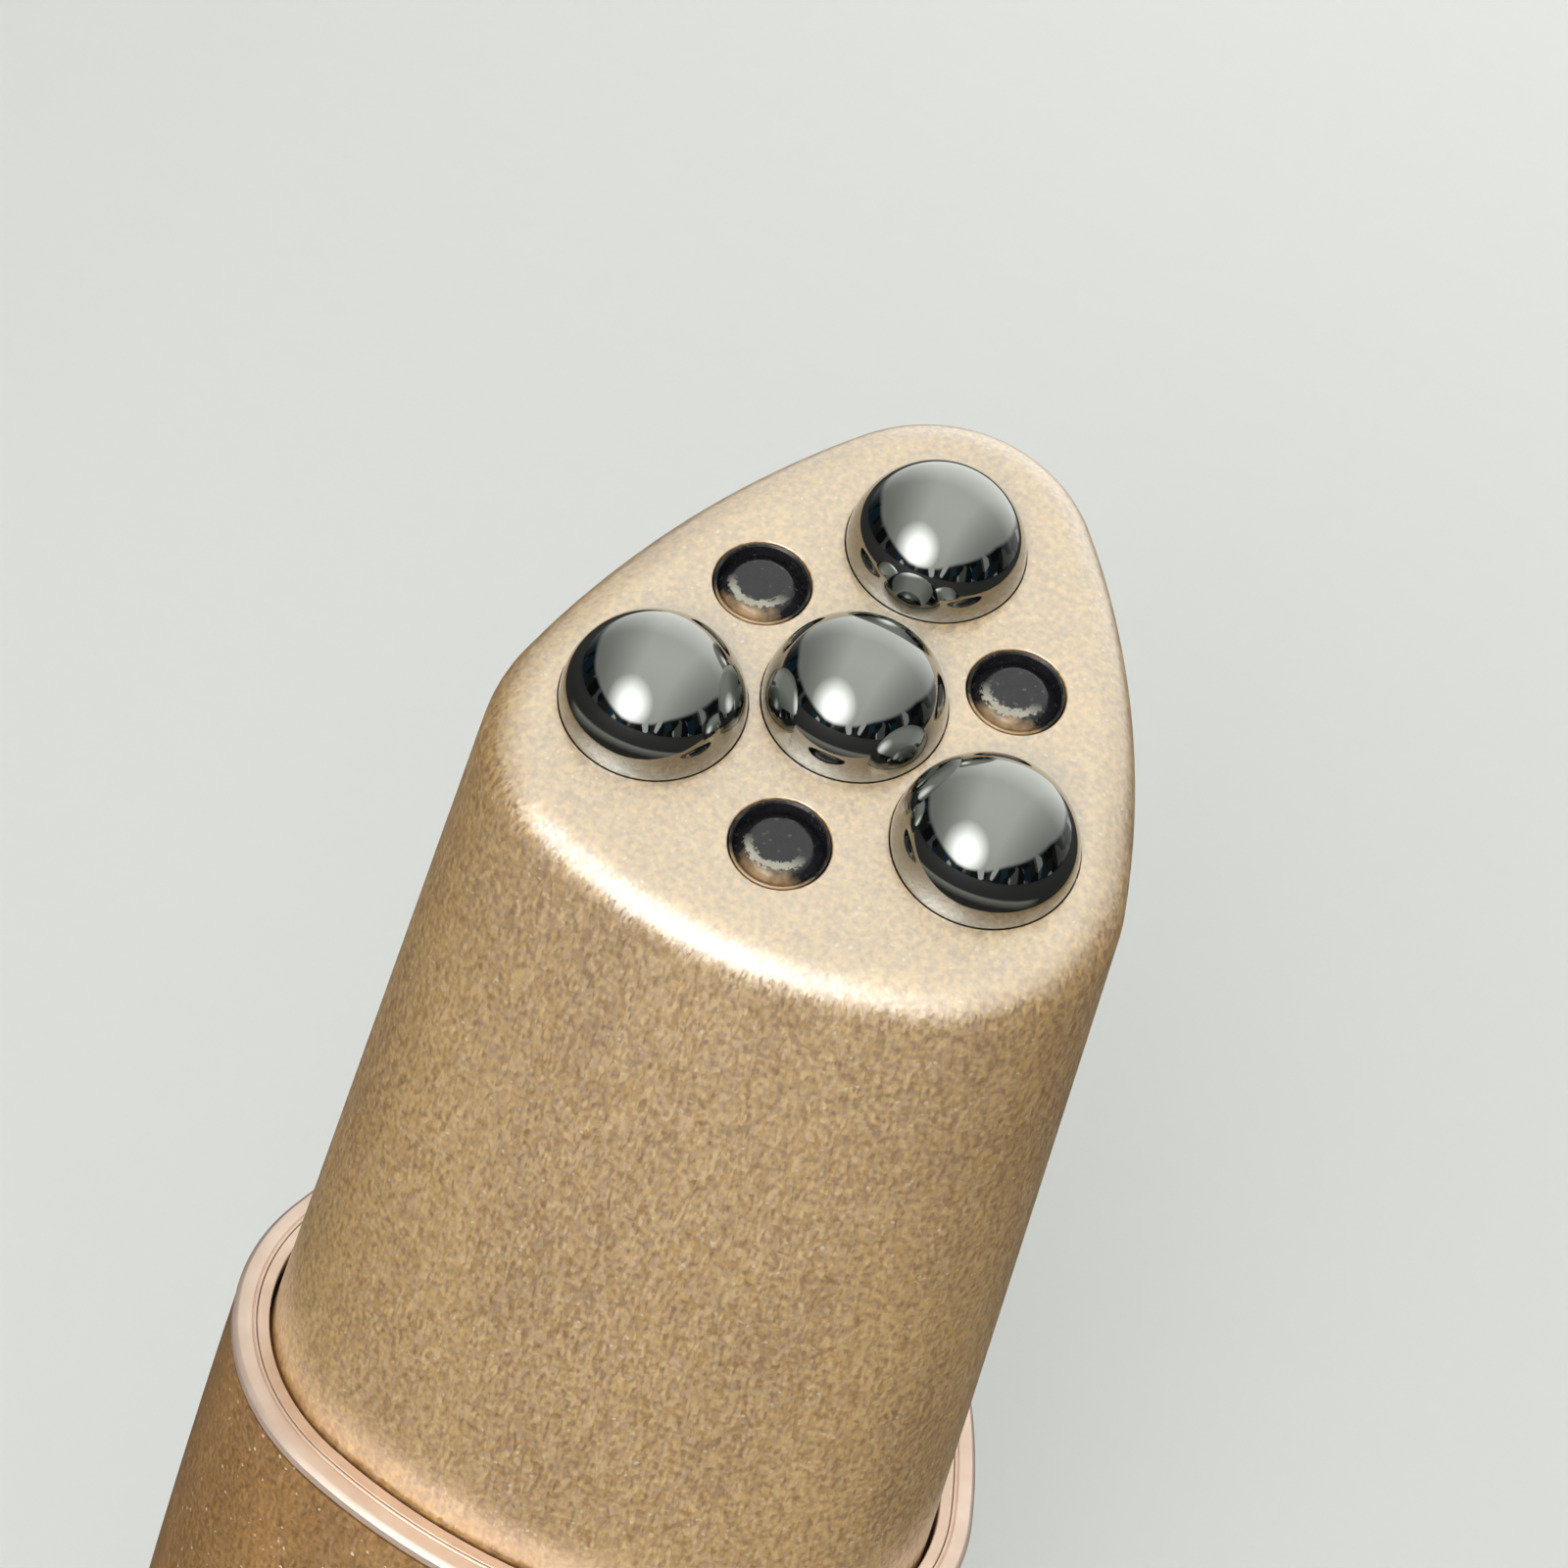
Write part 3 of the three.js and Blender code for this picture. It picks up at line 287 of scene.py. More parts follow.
    @classmethod
    def group(cls, *parts: "Shape") -> "Shape":
        """Several shapes in one list of faces, without joining their walls.

        Args:
            parts: shapes that stand clear of each other.

        Returns:
            All of them as one shape.
        """
        whole = cls()
        for part in parts:
            start = len(whole.points)
            whole.points.extend(Vector(point) for point in part.points)
            whole.faces.extend(tuple(start + corner for corner in face) for face in part.faces)
        return whole

    def combined(self, other: "Shape", blend: Blend) -> "Shape":
        """The solid that this shape and another make.

        Args:
            other: the second closed shape.
            blend: how the two are combined.

        Returns:
            The resulting closed shape.
        """
        first, second = self.mesh_object("first", 1.0), other.mesh_object("second", 1.0)
        modifier = first.modifiers.new("blend", "BOOLEAN")
        modifier.operation = blend.value
        modifier.solver = "EXACT"
        modifier.object = second
        bpy.context.view_layer.update()
        graph = bpy.context.evaluated_depsgraph_get()
        result = bpy.data.meshes.new_from_object(first.evaluated_get(graph))
        points = [vertex.co for vertex in result.vertices]
        faces = [tuple(polygon.vertices) for polygon in result.polygons]
        for scratch in (first, second):
            mesh = scratch.data
            bpy.data.objects.remove(scratch)
            bpy.data.meshes.remove(mesh)
        bpy.data.meshes.remove(result)
        return Shape(points, faces)

    def mesh_object(self, name: str, scale: float = METRES) -> bpy.types.Object:
        """Make the shape a Blender object, with its faces turned outwards.

        Args:
            name: name of the object and its mesh.
            scale: length of a millimetre in the object.

        Returns:
            The linked object.
        """
        mesh = bpy.data.meshes.new(name)
        mesh.from_pydata([point * scale for point in self.points], [], self.faces)
        tidy = bmesh.new()
        tidy.from_mesh(mesh)
        bmesh.ops.remove_doubles(tidy, verts=tidy.verts, dist=WELD * scale)
        bmesh.ops.recalc_face_normals(tidy, faces=tidy.faces)
        tidy.to_mesh(mesh)
        tidy.free()
        made = bpy.data.objects.new(name, mesh)
        bpy.context.scene.collection.objects.link(made)
        return made


def closing(rim: Ring, rings: int) -> list[Ring]:
    """Rings inside a flat rim that draw in to its middle, so that a cut leaves only small faces.

    Args:
        rim: the outer ring.
        rings: how many rings follow it.

    Returns:
        The inner rings.
    """
    middle = sum(rim, Vector()) / len(rim)
    shares = [1 - ring / (rings + INNERMOST) for ring in range(1, rings + 1)]
    return [[middle.lerp(point, share) for point in rim] for share in shares]


# Section, shared by every wall of the device


@dataclass(frozen=True)
class Ray:
    """One point of the section's outline: a foot, and the direction square on the outline."""

    foot: Vector
    out: Vector


@dataclass(frozen=True)
class Section:
    """Rounded triangle with bowed sides, drawn round the domes of the face."""

    dome_radius: float = 3.0
    rim_margin: float = 2.75
    side_dome_gap: float = 0.4
    side_dome_angle: float = math.radians(27)
    back_dome_gap: float = 0.8
    corner_inset_x: float = 1.01
    corner_inset_y: float = 0.05
    back_outset: float = 0.88
    front_bow: float = 0.81
    side_bow: float = 0.66
    head_draft: float = math.radians(4.35)
    face_slant: float = math.radians(23.8)
    head_reach: float = 30.5
    front_lean: float = 0.38
    side_steps: int = 18
    corner_steps: int = 26

    @cached_property
    def collar_z(self) -> float:
        """Height of the collar's flat top."""
        return level("collar_ring", top=True)

    @cached_property
    def face_z(self) -> float:
        """Height of the middle of the face."""
        return self.collar_z + self.head_reach

    @cached_property
    def side_dome(self) -> Vector:
        """Place of the right dome on the face, across and up from its middle."""
        reach = 2 * self.dome_radius + self.side_dome_gap
        return Vector((math.cos(self.side_dome_angle), -math.sin(self.side_dome_angle))) * reach

    @cached_property
    def back_dome_y(self) -> float:
        """Place of the back dome, up the face from its middle."""
        return 2 * self.dome_radius + self.back_dome_gap

    @cached_property
    def corners(self) -> tuple[Vector, Vector, Vector]:
        """Corner centres of the section, counter-clockwise from the front left one."""
        x = self.side_dome.x - self.corner_inset_x
        y = self.side_dome.y * math.cos(self.face_slant) + self.corner_inset_y
        back = self.back_dome_y * math.cos(self.face_slant) + self.back_outset
        return Vector((-x, y)), Vector((x, y)), Vector((0, back))

    @cached_property
    def front_y(self) -> float:
        """Place of the front side's middle, before any radius is added."""
        return self.corners[0].y - self.front_bow

    @cached_property
    def middle_y(self) -> float:
        """How far the section's middle lies behind the middle of the face."""
        return (self.front_y + self.corners[2].y) / 2

    def head_radius(self, z: float) -> float:
        """Corner radius of the head's wall at a height."""
        return self.dome_radius + self.rim_margin + math.tan(self.head_draft) * (self.face_z - z)

    def side(self, index: int) -> tuple[Vector, float, float, float]:
        """One bowed side of the section.

        Args:
            index: 0 for the front, 1 for the right side, 2 for the left.

        Returns:
            The arc's centre and radius, the middle direction and half of the angle that it spans.
        """
        start, end = self.corners[index], self.corners[(index + 1) % 3]
        bow = self.front_bow if index == 0 else self.side_bow
        chord = end - start
        half = chord.length / 2
        radius = (half**2 + bow**2) / (2 * bow)
        outward = Vector((chord.y, -chord.x)).normalized()
        centre = (start + end) / 2 + outward * (bow - radius)
        return centre, radius, math.atan2(outward.y, outward.x), math.asin(half / radius)

    @cached_property
    def rays(self) -> list[Ray]:
        """Outline points all round, from the front side counter-clockwise."""
        rays: list[Ray] = []
        for index in range(3):
            centre, radius, angle, fan = self.side(index)
            _, _, next_angle, next_fan = self.side((index + 1) % 3)
            for step in range(self.side_steps + 1):
                turn = angle + fan * (2 * step / self.side_steps - 1)
                out = Vector((math.cos(turn), math.sin(turn)))
                rays.append(Ray(centre + out * radius, out))
            start = angle + fan
            sweep = (next_angle - next_fan - start) % (2 * math.pi)
            for step in range(1, self.corner_steps):
                turn = start + sweep * step / self.corner_steps
                rays.append(Ray(self.corners[(index + 1) % 3], Vector((math.cos(turn), math.sin(turn)))))
        return rays

    def ring(self, radius: float, z: float) -> Ring:
        """The section's outline at a corner radius and a height.

        Args:
            radius: corner radius.
            z: height.

        Returns:
            The ring's points.
        """
        shift = self.middle_y
        return [
            Vector((ray.foot.x + ray.out.x * radius, ray.foot.y + ray.out.y * radius - shift, z))
            for ray in self.rays
        ]

    def prism(self, radius: float, low: float, high: float) -> Shape:
        """A straight solid with the section's outline."""
        return Shape.skin([self.ring(radius, low), self.ring(radius, high)])

    def sweep(self, profile: Profile) -> Shape:
        """A closed profile of (corner radius, height) swept round the section."""
        return Shape.skin([self.ring(radius, z) for radius, z in profile], closed=True)

    def head_form(self, inset: float, drop: float, edge: float, floor: float, steps: int) -> list[Ring]:
        """Rings of the drafted head up to its slanted, rounded top.

        Args:
            inset: how far the wall stands inside the outer one.
            drop: depth of the top under the face.
            edge: radius of the rounding between wall and top.
            floor: height of the lowest ring.
            steps: facets of the rounding.

        Returns:
            The rings from the floor to the top.
        """
        slope = math.tan(self.head_draft)
        sine, cosine = math.sin(self.face_slant), math.cos(self.face_slant)
        normal = Vector((0, -sine, cosine))
        rim = self.head_radius(self.face_z) - inset - edge / math.cos(self.head_draft)
        arcs: list[tuple[Vector, Vector, float]] = []
        for ray in self.rays:
            lean = self.front_lean * max(0.0, -ray.out.y) ** 4
            y = ray.foot.y + (rim - lean) * ray.out.y
            rise = (y * sine - edge - drop) / (cosine + slope * ray.out.y * sine)
            reach = rim - lean - slope * rise
            centre = Vector(
                (
                    ray.foot.x + ray.out.x * reach,
                    ray.foot.y + ray.out.y * reach - self.middle_y,
                    self.face_z + rise,
                )
            )
            wall = Vector((ray.out.x, ray.out.y, slope)).normalized()
            arcs.append((centre, wall, wall.angle(normal)))
        rings = [self.ring(self.head_radius(floor) - inset, floor)]
        for step in range(steps + 1):
            share = step / steps
            rings.append(
                [
                    centre
                    + (wall * math.sin(turn * (1 - share)) + normal * math.sin(turn * share))
                    * (edge / math.sin(turn))
                    for centre, wall, turn in arcs
                ]
            )
        return rings

    @cached_property
    def on_face(self) -> Matrix:
        """Turns a place on the face into a place in the device."""
        lift = Matrix.Translation((0, -self.middle_y, self.face_z))
        return lift @ Matrix.Rotation(self.face_slant, 4, "X")

    def to_front(self, z: float) -> Matrix:
        """Turns +Z of a shape to the front and lifts it to a height."""
        return Matrix.Translation((0, -self.middle_y, z)) @ Matrix.Rotation(math.pi / 2, 4, "X")


SECTION = Section()


# Finishes


class Sheet:
    """Node tree of one material, with short calls for the nodes that the finishes share."""

    def __init__(self, name: str) -> None:
        """Start a material with a principled shader.

        Args:
            name: name of the material.
        """
        self.material = bpy.data.materials.new(name)
        self.material.use_nodes = True
        self.tree = self.material.node_tree
        self.tree.nodes.clear()
        self.shader = self.tree.nodes.new("ShaderNodeBsdfPrincipled")
        output = self.tree.nodes.new("ShaderNodeOutputMaterial")
        self.tree.links.new(self.shader.outputs["BSDF"], output.inputs["Surface"])
        self.places = self.tree.nodes.new("ShaderNodeTexCoord").outputs["Object"]

    def plug(self, value: object, socket: Socket) -> None:
        """Link a socket, or set its value.

        Args:
            value: an output socket, a number or a tuple.
            socket: the input that takes it.
        """
        if isinstance(value, Socket):
            self.tree.links.new(value, socket)
        else:
            socket.default_value = value

    def node(self, kind: str, inputs: dict[object, object], **settings: object) -> bpy.types.Node:
        """Add a node.

        Args:
            kind: Blender's name of the node.
            inputs: values or links for its inputs.
            settings: attributes of the node.

        Returns:
            The node.
        """
        made = self.tree.nodes.new(kind)
        for key, value in settings.items():
            setattr(made, key, value)
        for key, value in inputs.items():
            self.plug(value, made.inputs[key])
        return made

    def math(self, operation: str, *values: object) -> Socket:
        """The result of a sum with numbers.

        Args:
            operation: Blender's name of the sum.
            values: numbers or links, in order.

        Returns:
            The result.
        """
        return self.node("ShaderNodeMath", dict(enumerate(values)), operation=operation).outputs[0]

    def vector(self, operation: str, *values: object, output: str = "Vector") -> Socket:
        """The result of a sum with vectors.

        Args:
            operation: Blender's name of the sum.
            values: vectors or links, in order.
            output: "Value" where the result is a number.

        Returns:
            The result.
        """
        return self.node("ShaderNodeVectorMath", dict(enumerate(values)), operation=operation).outputs[output]

    def mixed(self, share: Socket, first: Socket, second: Socket | Colour) -> Socket:
        """A colour between a linked one and another.

        Args:
            share: share of the second colour.
            first: colour at 0.
            second: colour at 1, linked or plain.

        Returns:
            The colour.
        """
        last = (*second, 1) if isinstance(second, tuple) else second
        return self.node("ShaderNodeMix", {"Factor": share, 6: first, 7: last}, data_type="RGBA").outputs[2]

    def channels(self, colour: Socket) -> bpy.types.NodeOutputs:
        """A colour's "Red", "Green" and "Blue"."""
        return self.node("ShaderNodeSeparateColor", {"Color": colour}).outputs

    def stretched(self, x: float, y: float, z: float) -> Socket:
        """Places scaled along each axis."""
        return self.node("ShaderNodeMapping", {"Vector": self.places, "Scale": (x, y, z)}).outputs[0]

    def noise(self, grain: float, places: Socket | None = None, detail: float = 2.0) -> Socket:
        """Soft noise.

        Args:
            grain: size of its lumps in millimetres.
            places: where it is read; the object's own places by default.
            detail: how many finer layers it has.

        Returns:
            Its value from 0 to 1.
        """
        inputs = {"Vector": places or self.places, "Scale": 1 / (grain * METRES), "Detail": detail}
        return self.node("ShaderNodeTexNoise", inputs).outputs["Fac"]

    def cells(self, grain: float, places: Socket | None = None) -> Socket:
        """Cells of random colours, like flakes.

        Args:
            grain: size of a cell in millimetres.
            places: where they are read; the object's own places by default.

        Returns:
            The colour of each cell.
        """
        inputs = {"Vector": places or self.places, "Scale": 1 / (grain * METRES)}
        return self.node("ShaderNodeTexVoronoi", inputs).outputs["Color"]

    def spread(
        self, value: Socket, low: float, high: float, start: float = 0.0, end: float = 1.0
    ) -> Socket:
        """A value's range mapped to another one.

        Args:
            value: the value.
            low: what it becomes at start.
            high: what it becomes at end.
            start: lower end of its own range.
            end: upper end of its own range.

        Returns:
            The mapped value.
        """
        inputs = {"Value": value, "From Min": start, "From Max": end, "To Min": low, "To Max": high}
        return self.node("ShaderNodeMapRange", inputs).outputs["Result"]

    def blend(self, share: Socket, first: Colour, second: Colour) -> Socket:
        """A colour between two.

        Args:
            share: share of the second colour.
            first: colour at 0.
            second: colour at 1.

        Returns:
            The colour.
        """
        ramp = self.node("ShaderNodeValToRGB", {"Fac": share})
        ramp.color_ramp.elements[0].color = (*first, 1)
        ramp.color_ramp.elements[1].color = (*second, 1)
        return ramp.outputs["Color"]

    def bump(self, height: Socket, depth: float, normal: Socket | None = None) -> Socket:
        """A surface normal disturbed by a height.

        Args:
            height: height from 0 to 1.
            depth: what 1 stands for, in millimetres.
            normal: the normal that is disturbed.

        Returns:
            The new normal.
        """
        inputs: dict[object, object] = {"Height": height, "Strength": 1.0, "Distance": depth * METRES}
        if normal is not None:
            inputs["Normal"] = normal
        return self.node("ShaderNodeBump", inputs).outputs["Normal"]

    def tilted(self, direction: Socket, amount: float, normal: Socket) -> Socket:
        """A normal tipped over by a random direction, as each flake of a paint is.

        Args:
            direction: random values from 0 to 1 on three axes.
            amount: how far it tips.
            normal: the normal that tips.

        Returns:
            The new normal.
        """
        away = self.vector("SUBTRACT", direction, (0.5, 0.5, 0.5))
        lean = self.node("ShaderNodeVectorMath", {0: away, "Scale": amount}, operation="SCALE").outputs[0]
        return self.vector("NORMALIZE", self.vector("ADD", lean, normal))

    def finish(self, **inputs: object) -> bpy.types.Material:
        """Set the shader's inputs.

        Args:
            inputs: values or links by input name, with _ for a space.

        Returns:
            The material.
        """
        for key, value in inputs.items():
            socket = self.shader.inputs[key.replace("_", " ")]
            if isinstance(value, tuple) and len(value) == 3 and socket.type == "RGBA":
                value = (*value, 1)
            self.plug(value, socket)
        return self.material


_MADE: dict[str, bpy.types.Material] = {}


@dataclass(frozen=True)
class Finish(ABC):
    """A finish that is mixed once and then worn by any number of pieces."""

    name: str
    slot: str

    @abstractmethod
    def mix(self) -> bpy.types.Material:
        """Make the material."""

    def dress(self, piece: bpy.types.Object) -> None:
        """Give a piece this finish.

        Args:
            piece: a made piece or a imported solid.
        """
        if self.name not in _MADE:
            _MADE[self.name] = self.mix()
        piece.data.materials.clear()
        piece.data.materials.append(_MADE[self.name])


@dataclass(frozen=True)
class FlakePaint(Finish):
    """Metallic paint: a golden ground full of pearl flakes, which mirror white light as a high index does."""

    ground: Colour = linear(244, 194, 108)
    shade: Colour = linear(180, 130, 66)
    # Colour of the few pale flecks painted in as glints.
    painted_glint_colour: Colour = linear(250, 226, 186)
    flake: float = 0.09
    grain: float = 0.22
    streak: float = 3.2
    lean: float = 0.1
    roughness: float = 0.38
    index: float = 7.6
    # Size, share and cover of the pale flecks painted in as glints.
    painted_glint_grain: float = 0.1
    painted_glint_share: float = 0.008
    painted_glint_cover: float = 0.8
    streak_grain: float = 0.7
    streak_weight: float = 1.4
    drift_grain: float = 3.0
    clump_weight: float = 3.2
    mottle: Span = (0.0, 1.0, 2.1, 3.5)
    peel_grain: float = 0.7
    peel_depth: float = 0.001
    flake_gloss: float = 0.1

    def mix(self) -> bpy.types.Material:
        """Lean each flake its own way, streak the ground along the handle and paint in a few pale flecks as
        glints.
        """
        sheet = Sheet(self.name)
        long = sheet.stretched(1, 1, 1 / self.streak)
        flakes = sheet.cells(self.flake, long)
        clump = sheet.noise(self.grain, detail=1.5)
        streaks = sheet.noise(self.streak_grain * self.grain, long, detail=1)
        drift = sheet.noise(self.drift_grain, long, detail=2)
        lines = sheet.math("MULTIPLY_ADD", streaks, self.streak_weight, drift)
        mottle = sheet.math("MULTIPLY_ADD", clump, self.clump_weight, lines)
        paint = sheet.blend(sheet.spread(mottle, *self.mottle), self.shade, self.ground)
        # Painted glints: a few pale flecks that stand in for flakes catching the lamp.
        rare = sheet.channels(sheet.cells(self.painted_glint_grain))["Red"]
        share = self.painted_glint_share
        is_painted_glint = sheet.spread(rare, 0.0, self.painted_glint_cover, 1 - share, 1 - 0.5 * share)
        gloss = sheet.channels(flakes)["Blue"]
        low, high = self.roughness - self.flake_gloss, self.roughness + self.flake_gloss
        peel = sheet.bump(sheet.noise(self.peel_grain, detail=1), self.peel_depth)
        return sheet.finish(
            Base_Color=sheet.mixed(is_painted_glint, paint, self.painted_glint_colour),
            Roughness=sheet.spread(gloss, low, high),
            Normal=sheet.tilted(flakes, self.lean, peel),
            IOR=self.index,
        )


@dataclass(frozen=True)
class BrushedMetal(Finish):
    """Bare or anodised metal with fine marks along one axis."""

    ground: Colour = linear(246, 222, 206)
    shade: Colour = linear(234, 206, 188)
    roughness: float = 0.34
    marks: tuple[float, float, float] = (1.0, 1.0, 6.0)
    grain: float = 0.08
    depth: float = 0.0008
    metallic: float = 1.0
    tone_grain: float = 1.6
    tone_span: Span = (0.0, 1.0, 0.3, 0.7)

    def mix(self) -> bpy.types.Material:
        """Layer fine marks and tone."""
        sheet = Sheet(self.name)
        along = sheet.stretched(*self.marks)
        fine = sheet.noise(self.grain, along, detail=4)
        tone = sheet.noise(self.tone_grain, detail=3)
        return sheet.finish(
            Base_Color=sheet.blend(sheet.spread(tone, *self.tone_span), self.shade, self.ground),
            Metallic=self.metallic,
            Roughness=sheet.spread(fine, self.roughness - ROUGH_BELOW, self.roughness + ROUGH_ABOVE),
            Normal=sheet.bump(fine, self.depth),
        )


@dataclass(frozen=True)
class MirrorSteel(Finish):
    """Polished steel with faint smears and hairlines."""

    ground: Colour = (0.43, 0.44, 0.425)
    shade: Colour = (0.395, 0.405, 0.395)
    smear_grain: float = 1.1
    gloss: Span = (0.02, 0.09, 0.35, 0.75)
    hair_grain: float = 0.05
    hair_stretch: tuple[float, float, float] = (1, 0.08, 1)
    hair_depth: float = 0.00005
    wave_grain: float = 1.4
    wave_depth: float = 0.0015

    def mix(self) -> bpy.types.Material:
        """Layer smears, hairlines and a trace of waviness."""
        sheet = Sheet(self.name)
        smear = sheet.noise(self.smear_grain, detail=5)
        hair = sheet.noise(self.hair_grain, sheet.stretched(*self.hair_stretch), detail=2)
        wave = sheet.bump(sheet.noise(self.wave_grain, detail=1), self.wave_depth)
        return sheet.finish(
            Base_Color=sheet.blend(smear, self.shade, self.ground),
            Metallic=1.0,
            Roughness=sheet.spread(smear, *self.gloss),
            Normal=sheet.bump(hair, self.hair_depth, normal=wave),
        )


@dataclass(frozen=True)
class Moulded(Finish):
    """Moulded plastic, rubber or film: spark-eroded grain and tone."""

    ground: Colour = (0.02, 0.02, 0.02)
    shade: Colour = (0.014, 0.014, 0.014)
    roughness: float = 0.5
    grain: float = 0.12
    depth: float = 0.004
    coat: float = 0.0
    tone_grain: float = 2.5

    def mix(self) -> bpy.types.Material:
        """Layer the grain and the tone."""
        sheet = Sheet(self.name)
        fine = sheet.noise(self.grain, detail=3)
        tone = sheet.noise(self.tone_grain, detail=4)
        return sheet.finish(
            Base_Color=sheet.blend(tone, self.shade, self.ground),
            Roughness=sheet.spread(fine, self.roughness - ROUGH_BELOW, self.roughness + ROUGH_ABOVE),
            Normal=sheet.bump(fine, self.depth),
            Coat_Weight=self.coat,
            Coat_Roughness=0.08,
        )


@dataclass(frozen=True)
class SmokedLens(Finish):
    """Dark glossy lens, scratched, with a painted reflection of the gold bore in amber on its low side and a
    painted highlight crescent along the low side of its rim.
    """

    centre: tuple[float, float, float] = (0.0, 0.0, 0.0)
    downhill: tuple[float, float, float] = (0.0, -1.0, 0.0)
    ground: Colour = linear(46, 46, 49)
    shade: Colour = linear(22, 22, 25)
    # Colours of the painted reflection of the gold bore and of the painted highlight crescent, which the pale
    # specks share.
    painted_gold_reflection: Colour = linear(190, 158, 118)
    highlight_and_speck_colour: Colour = linear(176, 172, 158)
    cloud_grain: float = 0.35
    # Raggedness and reach of the painted reflection on the low side.
    reflection_ragged: float = 0.0009
    reflection_span: Span = (0.0, 0.9, 0.0011, 0.0017)
    # Ring, raggedness and low-side span of the painted highlight crescent.
    rim: float = 1.05
    rim_shift: tuple[float, float, float] = (-0.1, 0.2, 0.0)
    rim_ragged: float = 0.00014
    rim_inside: tuple[float, float] = (0.18, 0.1)
    rim_outside: tuple[float, float] = (0.1, 0.14)
    crescent_low_span: Span = (0.0, 1.0, 0.0, 0.0006)
    chip_grain: float = 0.1
    chip_lean: float = 0.12
    specks: Span = (0.0, 0.16, 0.95, 1.0)
    gloss: Span = (0.1, 0.35, 0.3, 0.8)
    scratch_grain: float = 0.05
    scratch_stretch: tuple[float, float, float] = (1, 0.2, 1)
    scratch_depth: float = 0.004

    def mix(self) -> bpy.types.Material:
        """Layer the smoke, the painted reflection on the low side, the painted highlight crescent on the rim,
        specks and scratches.
        """
        sheet = Sheet(self.name)
        middle = tuple(value * METRES for value in self.centre)
        away = sheet.vector("SUBTRACT", sheet.places, middle)
        low = sheet.vector("DOT_PRODUCT", away, self.downhill, output="Value")
        cloud = sheet.noise(self.cloud_grain, detail=5)
        # Painted reflection: amber on the low side, where the gold bore would show through the lens.
        ragged = sheet.math("MULTIPLY_ADD", cloud, self.reflection_ragged, low)
        smoke = sheet.blend(cloud, self.shade, self.ground)
        reflected_gold = sheet.spread(ragged, *self.reflection_span)
        colour = sheet.mixed(reflected_gold, smoke, self.painted_gold_reflection)
        # Painted highlight: a pale ragged crescent on the low side of the rim, where its rounded edge would
        # catch the lamp.
        shift = tuple(value * METRES for value in self.rim_shift)
        reach = sheet.vector("DISTANCE", away, shift, output="Value")
        chips = sheet.cells(self.chip_grain)
        parts = sheet.channels(chips)
        uneven = sheet.math("MULTIPLY_ADD", parts["Red"], self.rim_ragged, reach)
        inner = [(self.rim - inset) * METRES for inset in self.rim_inside]
        outer = [(self.rim + outset) * METRES for outset in self.rim_outside]
        inside, outside = sheet.spread(uneven, 0.0, 1.0, *inner), sheet.spread(uneven, 1.0, 0.0, *outer)
        edge = sheet.math("MULTIPLY", inside, outside)
        # The painted highlight crescent, kept to the low side.
        worn = sheet.math("MULTIPLY", edge, sheet.spread(low, *self.crescent_low_span))
        pale = sheet.math("MAXIMUM", worn, sheet.spread(parts["Green"], *self.specks))
        scratch = sheet.noise(self.scratch_grain, sheet.stretched(*self.scratch_stretch), detail=3)
        return sheet.finish(
            Base_Color=sheet.mixed(pale, colour, self.highlight_and_speck_colour),
            Roughness=sheet.spread(scratch, *self.gloss),
            Normal=sheet.tilted(chips, self.chip_lean, sheet.bump(scratch, self.scratch_depth)),
            Coat_Weight=0.5,
            Coat_Roughness=0.08,
        )


@dataclass(frozen=True)
class ClearPlastic(Finish):
    """Milky clear plastic of the lights."""

    ground: Colour = linear(233, 231, 224)
    shade: Colour = linear(214, 212, 205)
    cloud_grain: float = 0.9
    gloss: tuple[float, float] = (0.08, 0.22)
    mark_grain: float = 0.3
    mark_depth: float = 0.002

    def mix(self) -> bpy.types.Material:
        """Layer a soft cloud and a trace of moulding marks."""
        sheet = Sheet(self.name)
        cloud = sheet.noise(self.cloud_grain, detail=3)
        return sheet.finish(
            Base_Color=sheet.blend(cloud, self.shade, self.ground),
            Roughness=sheet.spread(cloud, *self.gloss),
            Normal=sheet.bump(sheet.noise(self.mark_grain), self.mark_depth),
            Transmission_Weight=0.35,
            IOR=1.49,
            Coat_Weight=0.4,
        )


@dataclass(frozen=True)
class CircuitBoard(Finish):
    """Green solder mask over faint copper tracks."""

    ground: Colour = linear(34, 96, 58)
    shade: Colour = linear(22, 70, 42)
    gloss_grain: float = 0.4
    gloss: tuple[float, float] = (0.3, 0.45)
    track_depth: float = 0.02

    def mix(self) -> bpy.types.Material:
        """Layer tracks on a square grid and the mask's gloss."""
        sheet = Sheet(self.name)
        grid = sheet.node(
            "ShaderNodeTexBrick",
            {
                "Vector": sheet.places,
                "Scale": 1 / METRES,
                "Mortar Size": 0.06,
                "Brick Width": 1.4,
                "Row Height": 0.7,
                "Color1": (0, 0, 0, 1),
                "Color2": (0.4, 0.4, 0.4, 1),
                "Mortar": (1, 1, 1, 1),
            },
        ).outputs["Color"]
        return sheet.finish(
            Base_Color=sheet.blend(grid, self.shade, self.ground),
            Roughness=sheet.spread(sheet.noise(self.gloss_grain), *self.gloss),
            Normal=sheet.bump(grid, self.track_depth),
            Coat_Weight=0.3,
        )


